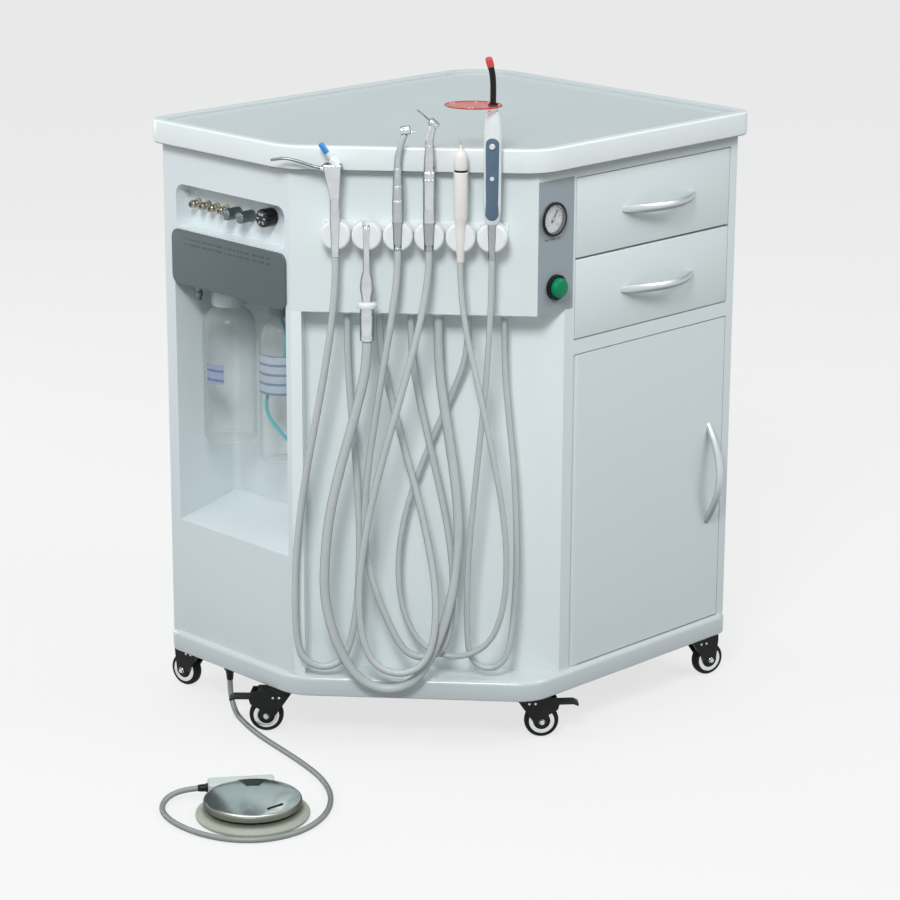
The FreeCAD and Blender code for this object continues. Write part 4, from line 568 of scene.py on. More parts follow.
black_plastic = finish("black_plastic", satin_black((20, 21, 23), (36, 37, 39), 0.3))
gland = bmesh.new()
turned(gland, [(0, 0), (8.5, 0), (8.5, 4), (6.4, 5), (6.2, 9), (5.6, 10), (5.5, 13), (5.2, 14), (5.1, 17),
               (4.8, 20), (4.1, 20), (4.1, 15), (0, 15)], (-318, 142, 70), (0, 0, -1), soft=0.3)
put("hose_gland", gland, CABINET, [black_plastic], "cabinet", "base_plinth", slot="black_plastic")


# ---------------------------------------------------------------- Cabinet panels
# Folded sheet steel in white lacquer: the back and right side, the set-back centre panel, the door,
# and the face frame round the door and the drawers.
def dress(made_of, *nodes):
    """Gives CAD nodes that are shown as they are a better finish."""
    for node in nodes:
        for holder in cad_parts[node].material_slots:
            holder.material = made_of


dress(white_lacquer, "wrapper_panel", "front_frame", "door")
# painted light: the centre panel is a brighter copy of the white lacquer, lifting the shade under the console
dress(finish("centre_panel_brightened_lacquer", lacquer((238, 247, 248), (220, 230, 232))), "centre_panel")

# the mains inlet in the back: a black socket with three flat pins in the panel's hole
inlet = bmesh.new()
for low, high in (((-179, 264, 150), (-151, 246.4, 151.2)), ((-179, 264, 168.8), (-151, 246.4, 170)),
                  ((-179, 264, 151.2), (-177.8, 246.4, 168.8)), ((-152.2, 264, 151.2), (-151, 246.4, 168.8)),
                  ((-179, 247.6, 150), (-151, 246.2, 170))):
    block(inlet, low, high)
for x, z in ((-165, 164.5), (-171, 156.5), (-159, 156.5)):
    block(inlet, (x - 1.0, 247, z - 2.5), (x + 1.0, 259, z + 2.5), soft=0.3, tone=1)


def plated_steel(tone, dark, gloss=0.24):
    def recipe(at):
        """Nickel-plated steel: fine turning lines, faint stains and fingerprints."""
        lines = at.scaled(1.0, 1.0, 9.0).clouds(0.004, 3.0)
        stains = at.clouds(0.015, 4.0).fade(0.5, 0.75)
        return {"Base Color": (stains * 0.7).tint(tone, dark), "Metallic": 1.0,
                "Roughness": gloss + lines * 0.12 + stains * 0.08,
                "Normal": at.relief(lines, 0.000015)}
    return recipe


bright_steel = finish("bright_steel", plated_steel((206, 208, 209), (178, 182, 184)))
put("mains_inlet_socket", inlet, CABINET, [black_plastic, bright_steel], "cabinet", slot="black_plastic")

# ---------------------------------------------------------------- Drawers
# Lacquered fronts 16 mm thick with eased edges, on folded grey steel boxes that run on zinc-plated
# slides. Front and box are screwed together and move as one.
zinc = finish("zinc_plate", plated_steel((176, 180, 182), (150, 155, 160), 0.34))


def box_paint(at):
    """Grey stoved paint with a fine texture."""
    return {"Base Color": at.clouds(0.1, 3.0).tint((196, 200, 201), (184, 189, 191)),
            "Roughness": 0.42 + at.clouds(0.02, 3.0) * 0.14, "Normal": at.relief(at.clouds(0.003), 0.00003)}


grey_box_paint = finish("drawer_box_paint", box_paint)
for side, low, high in (("upper", 705.0, 821.0), ("lower", 589.0, 705.0)):
    drawer = bmesh.new()
    block(drawer, (-20.5, -264, low + 1.5), (305.5, -248, high - 1.5), soft=1.6)
    depth = high - low - 31.5
    before = set(drawer.verts)
    block(drawer, (-9, -248, low + 10), (294, 142, low + 10 + depth), tone=1)
    lid = [f for f in new_faces(drawer, before) if f.normal.z > 0.9]
    bmesh.ops.inset_region(drawer, faces=lid, thickness=3.0, use_even_offset=True)
    pull(drawer, lid, (0, 0, 3 - depth), hollow=True)
    middle = (low + high) / 2 - 14
    for x0, x1 in ((-20.4, -9), (294, 305.4)):
        block(drawer, (x0, -244, middle - 15.9), (x1, 136, middle + 15.9), soft=1.2, tone=2)
    put("drawer_" + side + "_front_and_box", drawer, CABINET, [white_lacquer, grey_box_paint, zinc],
        "drawer_" + side, "drawer_" + side, slot="white_board")


# ---------------------------------------------------------------- Bow handles
# Cast bars in satin silver, 158 mm long, screwed on from behind: they spring from the front in a
# shallow bow, thicker in the middle than at the two feet.
def satin_silver(at):
    """Bead-blasted and clear-coated: soft grain, polished in patches, with painted shade where it faces down.
    """
    polished = at.clouds(0.02, 3.0)
    # painted shade: darker the more the surface faces down
    below = 1 - at.node("ShaderNodeNewGeometry", output=1).part(2).fade(-0.5, 0.12)
    return {"Base Color": (below * 0.85 + polished * 0.1).tint((216, 222, 224), (106, 119, 125)),
            "Metallic": 0.7, "Roughness": 0.3 + polished * 0.14, "Coat Weight": 0.2, "Coat Roughness": 0.25,
            "Normal": at.relief(at.clouds(0.0008, 2.0), 0.00002)}


handle_finish = finish("satin_silver", satin_silver)


def bow_handle(name, place, body):
    """A bar 158 long that stands out by 28 in the middle, with 21 clear behind it for the fingers."""
    half_length, half_gap, half_height = 79.0, 66.0, 6.5
    bar = bmesh.new()
    block(bar, (-half_length, 0, -half_height), (half_length, -7, half_height))
    for axis, cuts in ((0, 31), (2, 5)):
        long_edges = [e for e in bar.edges if run(e, axis) > 1]
        bmesh.ops.subdivide_edges(bar, edges=long_edges, cuts=cuts, use_grid_fill=True)
    for v in bar.verts:
        along, front = v.co.x / half_length, v.co.y < -3
        outside = 28.0 * (1 - along * along) * (1 - 0.12 * (v.co.z / half_height) ** 2)
        inside = 21.0 * (1 - (v.co.x / half_gap) ** 2)
        v.co.y = -max(0.0, outside if front else inside)
        v.co.z *= 1 - 0.1 * along * along - 0.4 * along ** 8
    bmesh.ops.remove_doubles(bar, verts=bar.verts, dist=0.05)
    ease(bar, [e for e in creases(bar, 40) if any(abs(v.co.y) > 0.6 for v in e.verts)], 3.3, 5)
    put(name + "_bar", bar, place, [handle_finish], body, name, slot="handle_silver", sharp=50.0)


for side, level in (("upper", 762), ("lower", 646)):
    bow_handle("drawer_handle_" + side, CABINET @ Matrix.Translation((152, -264, level)), "drawer_" + side)
upright_place = CABINET @ Matrix.Translation((277, -264, 331)) @ Matrix.Rotation(math.pi / 2, 4, "Y")
bow_handle("door_handle", upright_place, "door")

# ---------------------------------------------------------------- Bottle bay
# The left side is one glossy moulding of white ABS with the bay, its sloping floor and the
# connector niche pressed into it.
dress(finish("bay_moulding", lacquer((227, 236, 239), (199, 210, 214), 0.24)), "bottle_bay")

# ---------------------------------------------------------------- Cover panel and bottle heads
# A dark grey moulded cover with rounded corners over the bay's top, printed with short dark index
# marks. Behind it a plate carries the two screw heads and a relief valve.
bay_parts = bmesh.new()
slab(bay_parts, [(1, 636), (246, 636), (246, 716), (1, 716)], 0, 3.0, corner=13.0)
ease(bay_parts, above(bay_parts, 2.9), 1.1, 3)
onto_left_side = Matrix(((0, 0, -1, -322), (1, 0, 0, 0), (0, 1, 0, 0), (0, 0, 0, 1)))
bmesh.ops.transform(bay_parts, matrix=onto_left_side, verts=bay_parts.verts)


def printed_cover(at):
    """Dark grey satin plate with two rows of short, slightly darker index marks near its upper edge."""
    along = at.part(1) * 1000.0
    up = at.part(2) * 1000.0
    rows = up.maths("COMPARE", up, 704.5, 1.3) + up.maths("COMPARE", up, 697.0, 1.3)
    dashes = along.clouds(8.0, 0.0).fade(0.47, 0.5) * along.fade(33.0, 34.0) * (1 - along.fade(222.0, 223.0))
    haze = at.clouds(0.05, 4.0)
    return {"Base Color": (rows * dashes * 0.8 + haze * 0.15).tint((83, 96, 100), (52, 60, 63)),
            "Roughness": 0.34 + haze * 0.14, "Coat Weight": 0.15,
            "Normal": at.relief(at.clouds(0.001, 2.0), 0.00003)}


cover_finish = finish("dark_grey_cover", printed_cover)
block(bay_parts, (-288, 40.3, 640), (-211.5, 242.6, 648), soft=0.6, tone=1)
turned(bay_parts, [(0, 0), (4.2, 0), (5, 1), (5, 4), (6.2, 5), (6.5, 7), (6.5, 12), (5.6, 13), (5.6, 15),
                   (6.5, 16), (6.5, 30), (0, 30)], (-300, 218, 610), soft=0.4, tone=4)


def screw_head(radius, neck, low, y, tone):
    """A ribbed screw cap, hollow over the bottle's neck: every third step round its skirt is sunk."""
    steps, sunk = 96, 0.8
    skirt = [(neck + 0.3, low), (radius - 1.2, low), (radius, low + 1.5), (radius, 636), (radius - 2, 640),
             (0, 640), (0, low + 18.3), (neck + 0.3, low + 18.3), (neck + 0.3, low)]
    for v in turned(bay_parts, skirt, (BOTTLES_X, y, 0), tone=tone, steps=steps):
        away = Vector((v.co.x - BOTTLES_X, v.co.y - y, 0))
        step = round(math.atan2(away.y, away.x) / (2 * math.pi) * steps)
        if away.length > radius - 0.3 and step % 3 == 0:
            v.co -= away.normalized() * sunk


screw_head(25, 19, 602, LARGE_Y, 3)
screw_head(16, 12.5, 606, SMALL_Y, 5)
dull_zinc = finish("dull_zinc", plated_steel((122, 131, 135), (94, 102, 107), 0.42))
grey_cap = finish("grey_cap", lacquer((132, 146, 145), (104, 118, 118), 0.3))
put("bay_cover_and_heads", bay_parts, CABINET,
    [cover_finish, black_plastic, bright_steel, moulded_white, dull_zinc, grey_cap],
    "cabinet", "bottle_panel", slot="dark_grey")

# ---------------------------------------------------------------- Quick connectors and knobs
# Four plated brass couplings with ringed sleeves stand out of the niche's back wall. Beside them are
# two fluted steel flow knobs and one larger black pressure knob, each with a short white pointer.
brass_plate = finish("plated_brass", plated_steel((172, 168, 152), (112, 106, 90), 0.26))


def niche_place(y, z):
    """A place on the niche's back wall, with +Z out of it."""
    return Matrix.Translation((-296, y, z)) @ Matrix.Rotation(-math.pi / 2, 4, "Y")


couplings = bmesh.new()
for y in (216, 195, 175, 155):
    before = set(couplings.verts)
    turned(couplings, [(0, 0), (6.9, 0), (6.9, 3.6), (6.2, 4), (4.4, 4), (4.4, 7), (5.0, 7), (5.5, 7.5),
                       (5.5, 8.4), (5.1, 8.8), (5.1, 9.4), (5.5, 9.8), (5.5, 14.6), (5.1, 15.2),
                       (4.6, 15.6), (4.5, 17), (2.6, 17), (2.4, 9), (0, 9)], soft=0.15, steps=36)
    turned(couplings, [(0, 9), (1.2, 9), (1.2, 14), (0, 14.6)], tone=1, steps=16)
    bmesh.ops.transform(couplings, matrix=niche_place(y, 752), verts=new_points(couplings, before))
put("quick_coupling_sleeves", couplings, CABINET, [brass_plate, bright_steel], "cabinet", "quick_connectors",
    slot="brass_fitting")


def niche_knob(node, y, z, radius, length, flutes, made_of, slot):
    """A turned knob with grip flutes, a pointer and, on a large one, six bright steel blocks in its face as
    painted highlights.
    """
    knob = bmesh.new()
    new = turned(knob, [(0, 0.3), (radius - 1.0, 0.3), (radius - 0.2, 1.4), (radius, 2.6),
                        (radius, length * 0.35), (radius, length * 0.65), (radius, length - 2.6),
                        (radius - 0.5, length - 1.2), (radius - 1.8, length - 0.2), (radius - 3.4, length),
                        (radius - 4.2, length - 0.7), (0, length - 0.7)], steps=flutes * 8)
    for v in new:
        reach = math.hypot(v.co.x, v.co.y)
        if reach > radius * 0.93 and 2.0 < v.co.z < length - 1.0:
            pressed = max(0.0, math.cos(math.atan2(v.co.y, v.co.x) * flutes)) ** 0.6
            v.co.xy *= 1 - radius * 0.09 * pressed / reach
    block(knob, (radius * 0.25, -0.5, length - 1.2), (radius * 0.6, 0.5, length - 0.3), soft=0.2, tone=1)
    # painted highlights: six bright steel blocks in the large knob's face stand in for its glints
    for turn in range(6 if radius > 10 else 0):
        glint_block = block(knob, (4.6, -1.0, length - 1.2), (9.0, 1.0, length + 0.1), soft=0.3, tone=2)
        bmesh.ops.rotate(knob, matrix=Matrix.Rotation(math.radians(30 + turn * 60), 3, "Z"), verts=glint_block)
    put(node + "_grip", knob, CABINET @ niche_place(y, z), [made_of, moulded_white, bright_steel], node, node,
        slot=slot)


dull_steel = finish("dull_steel", plated_steel((118, 127, 129), (86, 95, 98), 0.38))
niche_knob("flow_knob_left", 129, 752, 8.5, 27, 10, dull_steel, "steel")
niche_knob("flow_knob_right", 100, 752, 8.5, 27, 10, dull_steel, "steel")
glossy_black = finish("glossy_black", satin_black((6, 6, 7), (16, 16, 18), 0.05, 0.5))
niche_knob("pressure_knob", 58, 757, 13.0, 22, 12, glossy_black, "black_plastic")


# ---------------------------------------------------------------- Bottles
# Blown in milky plastic that lets some light through. The small one carries a plain blue-grey label
# band, the large one a small blue patch; neither has any words on it.
def milky_plastic(at):
    """Milky blown plastic: soft ripples, a haze that is thicker towards the sides, and painted shade towards
    its outline.
    """
    ripple = at.scaled(1.0, 1.0, 0.4).clouds(0.03, 2.0)
    haze = at.clouds(0.05, 4.0)
    side = at.sidelong()
    shoulder = at.part(2).fade(0.566, 0.59)
    # painted shade: the colour darkens to greenish grey along the outline
    return {"Base Color": (side * side).tint((236, 246, 243), (166, 188, 182)),
            "Roughness": 0.08 + haze * 0.1, "Coat Weight": 0.6, "Coat Roughness": 0.05,
            "Alpha": 0.025 + haze * 0.03 + side * side * side * 0.5 + shoulder * 0.05,
            "Normal": at.relief(ripple, 0.0006)}


bottle_finish = finish("milky_bottle_plastic", milky_plastic)


def bottle(node, radius, bottom, shoulder, neck_z, neck, y):
    """A blown bottle with a domed foot, rounded shoulders and a straight neck, open at the top."""
    blown = bmesh.new()
    rise = neck_z - shoulder
    outside = [(0, bottom + 4), (radius * 0.5, bottom + 3.4), (radius * 0.66, bottom + 0.8),
               (radius * 0.78, bottom), (radius * 0.9, bottom + 1.2), (radius * 0.97, bottom + 4.5),
               (radius, bottom + 9), (radius, bottom + 60), (radius, shoulder),
               (radius * 0.985, shoulder + rise * 0.2), (radius * 0.93, shoulder + rise * 0.42),
               (radius * 0.83, shoulder + rise * 0.64), (radius * 0.68, shoulder + rise * 0.84),
               (neck, neck_z), (neck, neck_z + 4), (neck, neck_z + 20)]
    wall = 1.6
    inside = [(max(0.0, r - wall), max(z, bottom + 4) + (wall if z < bottom + 9 else 0))
              for r, z in outside[::-1]]
    turned(blown, outside + inside, steps=56)
    put(node + "_blown_wall", blown, CABINET @ Matrix.Translation((BOTTLES_X, y, 0)), [bottle_finish], node,
        node, slot="bottle_plastic")


bottle("large_bottle", 39, 399, 572, 600, 19, LARGE_Y)
bottle("small_bottle", 31, 392, 562, 604, 12.5, SMALL_Y)


def label_paper(paper, ink):
    def recipe(at):
        """A wrap-round label with plain bars across it, slightly cloudy where it has got damp."""
        up = at.part(2)
        rows = up.maths("PINGPONG", up, 0.007).fade(0.0048, 0.0056)
        return {"Base Color": (rows * 0.6 + at.clouds(0.01, 3.0) * 0.3).tint(paper, ink),
                "Roughness": 0.5 + at.clouds(0.004) * 0.1}
    return recipe


def label(name, body, y, radius, low, high, first, last, made_of):
    """Part of a band round a bottle, from one angle to another about its axis."""
    band = bmesh.new()
    ends = [band.verts.new((radius, 0, low)), band.verts.new((radius, 0, high))]
    bmesh.ops.spin(band, geom=ends + [band.edges.new(ends)], cent=(0, 0, 0), axis=(0, 0, 1),
                   angle=math.radians(last - first), steps=24)
    bmesh.ops.rotate(band, matrix=Matrix.Rotation(math.radians(first), 3, "Z"), verts=band.verts)
    bmesh.ops.solidify(band, geom=band.faces, thickness=0.12)
    put(name, band, CABINET @ Matrix.Translation((BOTTLES_X, y, 0)), [made_of], body, slot="bottle_plastic")


label("small_bottle_label", "small_bottle", SMALL_Y, 31.15, 495, 553, 150, 285,
      finish("label_blue_grey", label_paper((180, 194, 205), (92, 108, 130))))
label("large_bottle_label", "large_bottle", LARGE_Y, 39.15, 492, 520, 172, 216,
      finish("label_blue", label_paper((158, 170, 194), (84, 96, 136))))

# ---------------------------------------------------------------- Console
# A white moulded housing hangs over the cut corner under the worktop. Its right side is a grey
# satin plate with the pressure gauge and the mains button; the hoses plug in underneath.
dress(finish("console_moulding", lacquer((228, 238, 239), (210, 221, 223), 0.24)), "console_housing")


def fascia_plate(at):
    """Grey powder-coated plate: fine grit, small pale rub marks, a row of darker dashes under the gauge."""
    grit = at.clouds(0.0007, 2.0)
    along = at.part(0) * 1000.0
    up = at.part(2)
    row = up.maths("COMPARE", up, 0.741, 0.0009) * along.fade(56.0, 56.5) * (1 - along.fade(88.0, 88.5))
    dashes = row * along.clouds(2.5, 0.0).fade(0.42, 0.46)
    rubs = at.clouds(0.03, 5.0, 0.5).fade(0.62, 0.8)
    tint = (grit * 0.4 + rubs * 0.3).tint((149, 162, 168), (160, 172, 177))
    return {"Base Color": dashes.tint(tint, (96, 106, 112)),
            "Roughness": 0.42 + grit * 0.1 + rubs * 0.06, "Normal": at.relief(grit, 0.00004)}


dress(finish("grey_fascia", fascia_plate), "console_fascia")
FORWARD = (0, -1, 0)
button_seat = (-62, -264, 673)
collar = bmesh.new()
turned(collar, [(14.1, 0), (18.0, 0), (18.0, 5.3), (17.5, 5.65), (14.1, 5.65), (14.1, 0)], button_seat,
       FORWARD, soft=0.2, steps=48)
put("button_collar_ring", collar, CABINET, [black_plastic], "cabinet", slot="black_plastic")


def green_dome(at):
    """Green moulding with painted shade that darkens it towards its outline."""
    # painted shade: the green darkens towards the outline
    side_shade = at.clouds(0.008, 2.0) * 0.2 + at.sidelong().fade(0.5, 0.9) * 0.8
    return {"Base Color": side_shade.tint((0, 136, 90), (0, 62, 44)),
            "Roughness": 0.3 + at.clouds(0.003, 3.0) * 0.12, "Specular IOR Level": 0.2,
            "Normal": at.relief(at.clouds(0.002), 0.00003)}


button = bmesh.new()
turned(button, [(0, -6), (14, -6), (14, 10.2), (13.6, 11.6), (12.6, 12.9), (10.8, 14.0), (8, 14.7), (4, 15),
                (0, 15)], button_seat, FORWARD, steps=48)
green_button = finish("green_button", green_dome)
put("mains_button_dome", button, CABINET, [green_button], "power_button", "power_button", slot="green_button")

# ---------------------------------------------------------------- Pressure gauge
# A 48 mm gauge: plated drawn-steel case with a black front ring, a white dial with printed
# divisions and figures, a needle on a plated boss and a flat glass lens.
gauge_seat = (-69, -264, 770)
gauge = bmesh.new()
turned(gauge, [(0, -24), (20.6, -24), (21, -23.4), (21, 0), (24, 0), (24, 3.4)], gauge_seat, FORWARD, tone=1,
       steps=64)
turned(gauge, [(24.0, 3.4), (23.8, 5.0), (23.3, 5.6), (22.8, 5.9), (22.0, 6.05), (21.3, 6.05), (20.5, 5.7),
               (20.4, 4.5), (18.9, 0.55)], gauge_seat, FORWARD, steps=64)
turned(gauge, [(20.0, 0.5), (0, 0.5)], gauge_seat, FORWARD, tone=2, steps=64)


def dial_card(at):
    """White card with a fine satin face; its printed divisions are separate raised ink."""
    return {"Base Color": at.clouds(0.01, 2.0).tint((222, 226, 226), (208, 213, 214)),
            "Roughness": 0.5 + at.clouds(0.003, 2.0) * 0.1}


DIAL = CABINET @ Matrix.Translation((-69, -264.52, 770)) @ Matrix.Rotation(math.pi / 2, 4, "X")
put("gauge_case_and_dial", gauge, CABINET, [black_plastic, zinc, finish("dial_card", dial_card)], "cabinet",
    "gauge_case", slot="black_plastic")
# the scale starts at the lower left and runs clockwise, with 40 steps and a figure at every eighth
marks = bmesh.new()
zero, sweep = 135.0, 270.0
scale_radius, figure_radius = 18.6, 12.4
for step in range(41):
    long = 3.4 if step % 8 == 0 else (2.4 if step % 4 == 0 else 1.5)
    half_width = 0.16 if step % 4 else 0.26
    mark = block(marks, (-half_width, scale_radius - long, 0), (half_width, scale_radius, 0.05))
    angle = math.radians(zero - step * sweep / 40)
    bmesh.ops.rotate(marks, matrix=Matrix.Rotation(angle, 3, "Z"), verts=mark)
for number in range(6):
    words = bpy.data.curves.new("figure", "FONT")
    words.body = str(number * 2)
    words.size = 4.4
    words.align_x = "CENTER"
    words.align_y = "CENTER"
    words.extrude = 0.02
    flat = bpy.data.meshes.new_from_object(bpy.data.objects.new("figure", words))
    angle = math.radians(zero - number * sweep / 5)
    middle = Vector((-math.sin(angle), math.cos(angle), 0.0)) * figure_radius
    flat.transform(Matrix.Translation((middle.x, middle.y, 0.03)))
    marks.from_mesh(flat)
put("gauge_dial_print", marks, DIAL, [black_plastic], "cabinet", slot="black_plastic")
needle = bmesh.new()
slab(needle, [(-1.9, -6), (1.9, -6), (0.7, 15.6), (-0.7, 15.6)], 1.1, 1.5)
turned(needle, [(0, 0.4), (2.6, 0.4), (2.6, 1.9), (2.2, 2.4), (0, 2.6)], soft=0.2, tone=1, steps=24)
put("gauge_needle_pointer", needle, DIAL @ Matrix.Rotation(math.radians(-35), 4, "Z"), [black_plastic, zinc],
    "gauge_needle", "gauge_needle", slot="black_plastic")


def flat_glass(at):
    """Thin clear glass with a breath of haze on it."""
    return {"Base Color": (1.0, 1.0, 1.0, 1.0), "Roughness": 0.02 + at.clouds(0.01, 3.0) * 0.05, "IOR": 1.45,
            "Alpha": 0.1 + at.clouds(0.008, 3.0) * 0.05, "Transmission Weight": 0.3}


lens = bmesh.new()
turned(lens, [(0, 4.5), (20.4, 4.5), (20.4, 5.4), (0, 5.6)], gauge_seat, FORWARD, steps=64)
put("gauge_lens", lens, CABINET, [finish("flat_glass", flat_glass)], "cabinet", "gauge_case",
    slot="black_plastic")

# ---------------------------------------------------------------- Instrument holders
# Six thick white discs on a rail along the console's front. A tapered slot in each takes one
# instrument, which hangs in it by its own taper.
dress(finish("holder_plastic", lacquer((236, 241, 241), (222, 229, 230), 0.2)), "instrument_holders")

# ---------------------------------------------------------------- Three-way syringe
# A chromed brass handle that widens into the head, a bent steel nozzle screwed into its left side, and
# two sprung buttons, one blue and one white, in white sleeves that lean out of its top.
def holder_place(distance, z=0.0):
    """The place of a holder on the cut corner's front: X along it to the right, -Y out, Z up, millimetres."""
    turn = Matrix.Rotation(math.atan2(ALONG_FRONT.y, ALONG_FRONT.x), 4, "Z")
    return Matrix.Translation(at_front(distance, 28.0, z)) @ turn @ Matrix.Scale(0.001, 4)


def lean(degrees):
    """A direction leaning that far to the left of upright, along the front."""
    return Vector((-math.sin(math.radians(degrees)), 0.0, math.cos(math.radians(degrees))))


def bent_rod(form, knots, tone=0, resolution=6):
    """A round bar that changes thickness along a smooth line: each knot is x, y, z and radius."""
    before = set(form.verts)
    line = bpy.data.curves.new("bar", "CURVE")
    line.dimensions = "3D"
    line.resolution_u = 8
    line.bevel_depth = 1.0
    line.bevel_resolution = resolution
    line.use_fill_caps = True
    spline = line.splines.new("NURBS")
    spline.points.add(len(knots) - 1)
    for knot, (x, y, z, radius) in zip(spline.points, knots):
        knot.co = (x, y, z, 1.0)
        knot.radius = radius
    spline.order_u = 3
    spline.use_endpoint_u = True
    form.from_mesh(bpy.data.meshes.new_from_object(bpy.data.objects.new("bar", line)))
    return settle(form, before, tone=tone)


def chrome(tone, dark, gloss=0.1):
    def recipe(at):
        """Polished chrome over brass: faint polishing lines, water spots, finger haze, and painted shade
        towards its outline.
        """
        spots = at.clouds(0.0025, 2.0).fade(0.62, 0.75)
        haze = at.clouds(0.012, 4.0)
        # painted shade: the colour darkens towards the outline
        return {"Base Color": (haze * 0.2 + at.sidelong().fade(0.25, 0.8) * 0.8).tint(tone, dark),
                "Metallic": 1.0, "Roughness": gloss + haze * 0.12 + spots * 0.1,
                "Normal": at.relief(at.scaled(1.0, 1.0, 0.15).clouds(0.002, 2.0), 0.00001)}
    return recipe


polished_chrome = finish("polished_chrome", chrome((222, 227, 229), (76, 84, 88)))
dull_chrome = finish("dull_chrome", chrome((176, 184, 187), (74, 82, 86), 0.18))
nozzle_steel = finish("nozzle_steel", chrome((122, 130, 134), (70, 78, 82), 0.24))
syringe_place = holder_place(66.5)
button_lean = lean(35)
syringe = bmesh.new()
slab(syringe, [(-13.5, -10), (13.5, -10), (13.5, 10), (-13.5, 10)], 805, 851, corner=5.5)
bmesh.ops.subdivide_edges(syringe, edges=[e for e in syringe.edges if run(e, 2) > 40], cuts=9)
# the handle narrows towards its foot, and its head stands out further to the left
for v in syringe.verts:
    share = max(0.0, (v.co.z - 805) / 46)
    v.co.x = v.co.x * (0.54 + 0.46 * share ** 1.15) - 3.3 * share
    v.co.y *= 0.73 + 0.27 * share
ease(syringe, above(syringe, 850.9), 3.0, 4)
turned(syringe, [(0, 722), (5.1, 722), (5.9, 722.6), (6.0, 726), (5.6, 727), (5.6, 728.5), (6.1, 729.2),
                 (6.2, 731.3), (7.4, 772.7), (7.3, 784), (7.1, 794), (7.2, 800), (7.3, 806), (0, 806)],
       soft=0.25)
turned(syringe, [(0, 0), (4.0, 0), (4.0, 6.4), (3.6, 6.9), (3.6, 7.7), (4.0, 8.2), (4.0, 9.4), (3.4, 10),
                 (0, 10)], (-9.8, 0, 843), (-18.5, 0, 3), soft=0.15, steps=28)
bent_rod(syringe, [(-9.8, 0, 843, 2.2), (-28.3, 0, 846, 2.2), (-48.3, 0, 853.2, 2.2), (-67.5, 0, 857.4, 2.1),
                   (-80, 0, 855.6, 1.9), (-87.5, 0, 854.4, 1.7)], tone=2)
for across in (-5, 5):
    turned(syringe, [(3.08, 3), (5.2, 3), (5.2, 15.2), (4.6, 16), (3.4, 16), (3.08, 15.6), (3.08, 3)],
           (5, across, 845), button_lean, tone=1, steps=32)
put("three_way_syringe_body", syringe, syringe_place, [polished_chrome, moulded_white, nozzle_steel],
    "syringe", "syringe", slot="chrome")


def button_plastic(tone, dark):
    def recipe(at):
        """Small glossy moulding, very slightly mottled."""
        return {"Base Color": at.clouds(0.004, 3.0).tint(tone, dark),
                "Roughness": 0.24 + at.clouds(0.002) * 0.14,
                "Coat Weight": 0.3, "Normal": at.relief(at.clouds(0.0012), 0.00002)}
    return recipe


white_button = finish("white_button", button_plastic((232, 236, 236), (214, 220, 221)))
blue_button = finish("blue_button", button_plastic((10, 118, 200), (44, 146, 218)))
for node, across, length, made_of, slot in (("syringe_air_button", -5, 39.2, blue_button, "blue_button"),
                                            ("syringe_water_button", 5, 32.2, white_button, "white_plastic")):
    foot = Vector((5, across, 845))
    cap = bmesh.new()
    turned(cap, [(0, 0), (3, 0), (3, length - 16), (3.6, length - 15.6), (4, length - 15), (4, length - 2.2),
                 (3.7, length - 1.1), (2.9, length - 0.3), (1.8, length), (0, length)],
           foot + button_lean * 2.8, button_lean, soft=0.25, steps=28)
    for face in cap.faces:
        if (face.calc_center_median() - foot).dot(button_lean) < length - 13:
            face.material_index = 1
    put(node + "_cap", cap, syringe_place, [made_of, white_button], node, node, slot=slot)

# ---------------------------------------------------------------- Suction handpiece
# A chromed tube with a swollen valve that hangs low in its holder: below the valve are a white
# flange and the ribbed hose end, and above the holder the open nozzle.
def handpiece_plastic(tone, dark):
    def recipe(at):
        """Autoclaved moulded plastic: soft sheen, slight yellowing clouds, worn faintly matt."""
        clouds = at.clouds(0.02, 4.0)
        return {"Base Color": (clouds * 0.7).tint(tone, dark), "Roughness": 0.26 + clouds * 0.16,
                "Coat Weight": 0.25, "Coat Roughness": 0.15, "Normal": at.relief(at.clouds(0.0015), 0.00003)}
    return recipe


suction = bmesh.new()
turned(suction, [(0, 605), (9.3, 605), (9.7, 605.6), (9.8, 607), (9.8, 612), (9.4, 613), (9.4, 615),
                 (9.8, 616), (9.8, 640), (9.4, 641), (9.4, 643), (9.8, 644), (9.8, 646), (8.8, 651),
                 (8.8, 652)], soft=0.2)
turned(suction, [(8.8, 651.6), (13.2, 652), (13.6, 652.8), (13.6, 657.2), (13.2, 658), (7.0, 659.8)], tone=1)
turned(suction, [(6.9, 659.6), (6.9, 662), (7.8, 668), (8.7, 672), (9.3, 676), (9.4, 680), (9.2, 686),
                 (8.6, 691), (7.2, 697), (5.6, 702.5), (5.2, 708), (5.1, 728.3), (5.2, 731.3), (6.2, 760.7),
                 (5.6, 763), (4.2, 764.7), (3.8, 766.2), (3.0, 766.7), (2.6, 761), (0, 758)], soft=0.2)
put("suction_handpiece_body", suction, holder_place(109.3), [polished_chrome, moulded_white],
    "suction_handpiece", "suction_handpiece", slot="handpiece_grey")

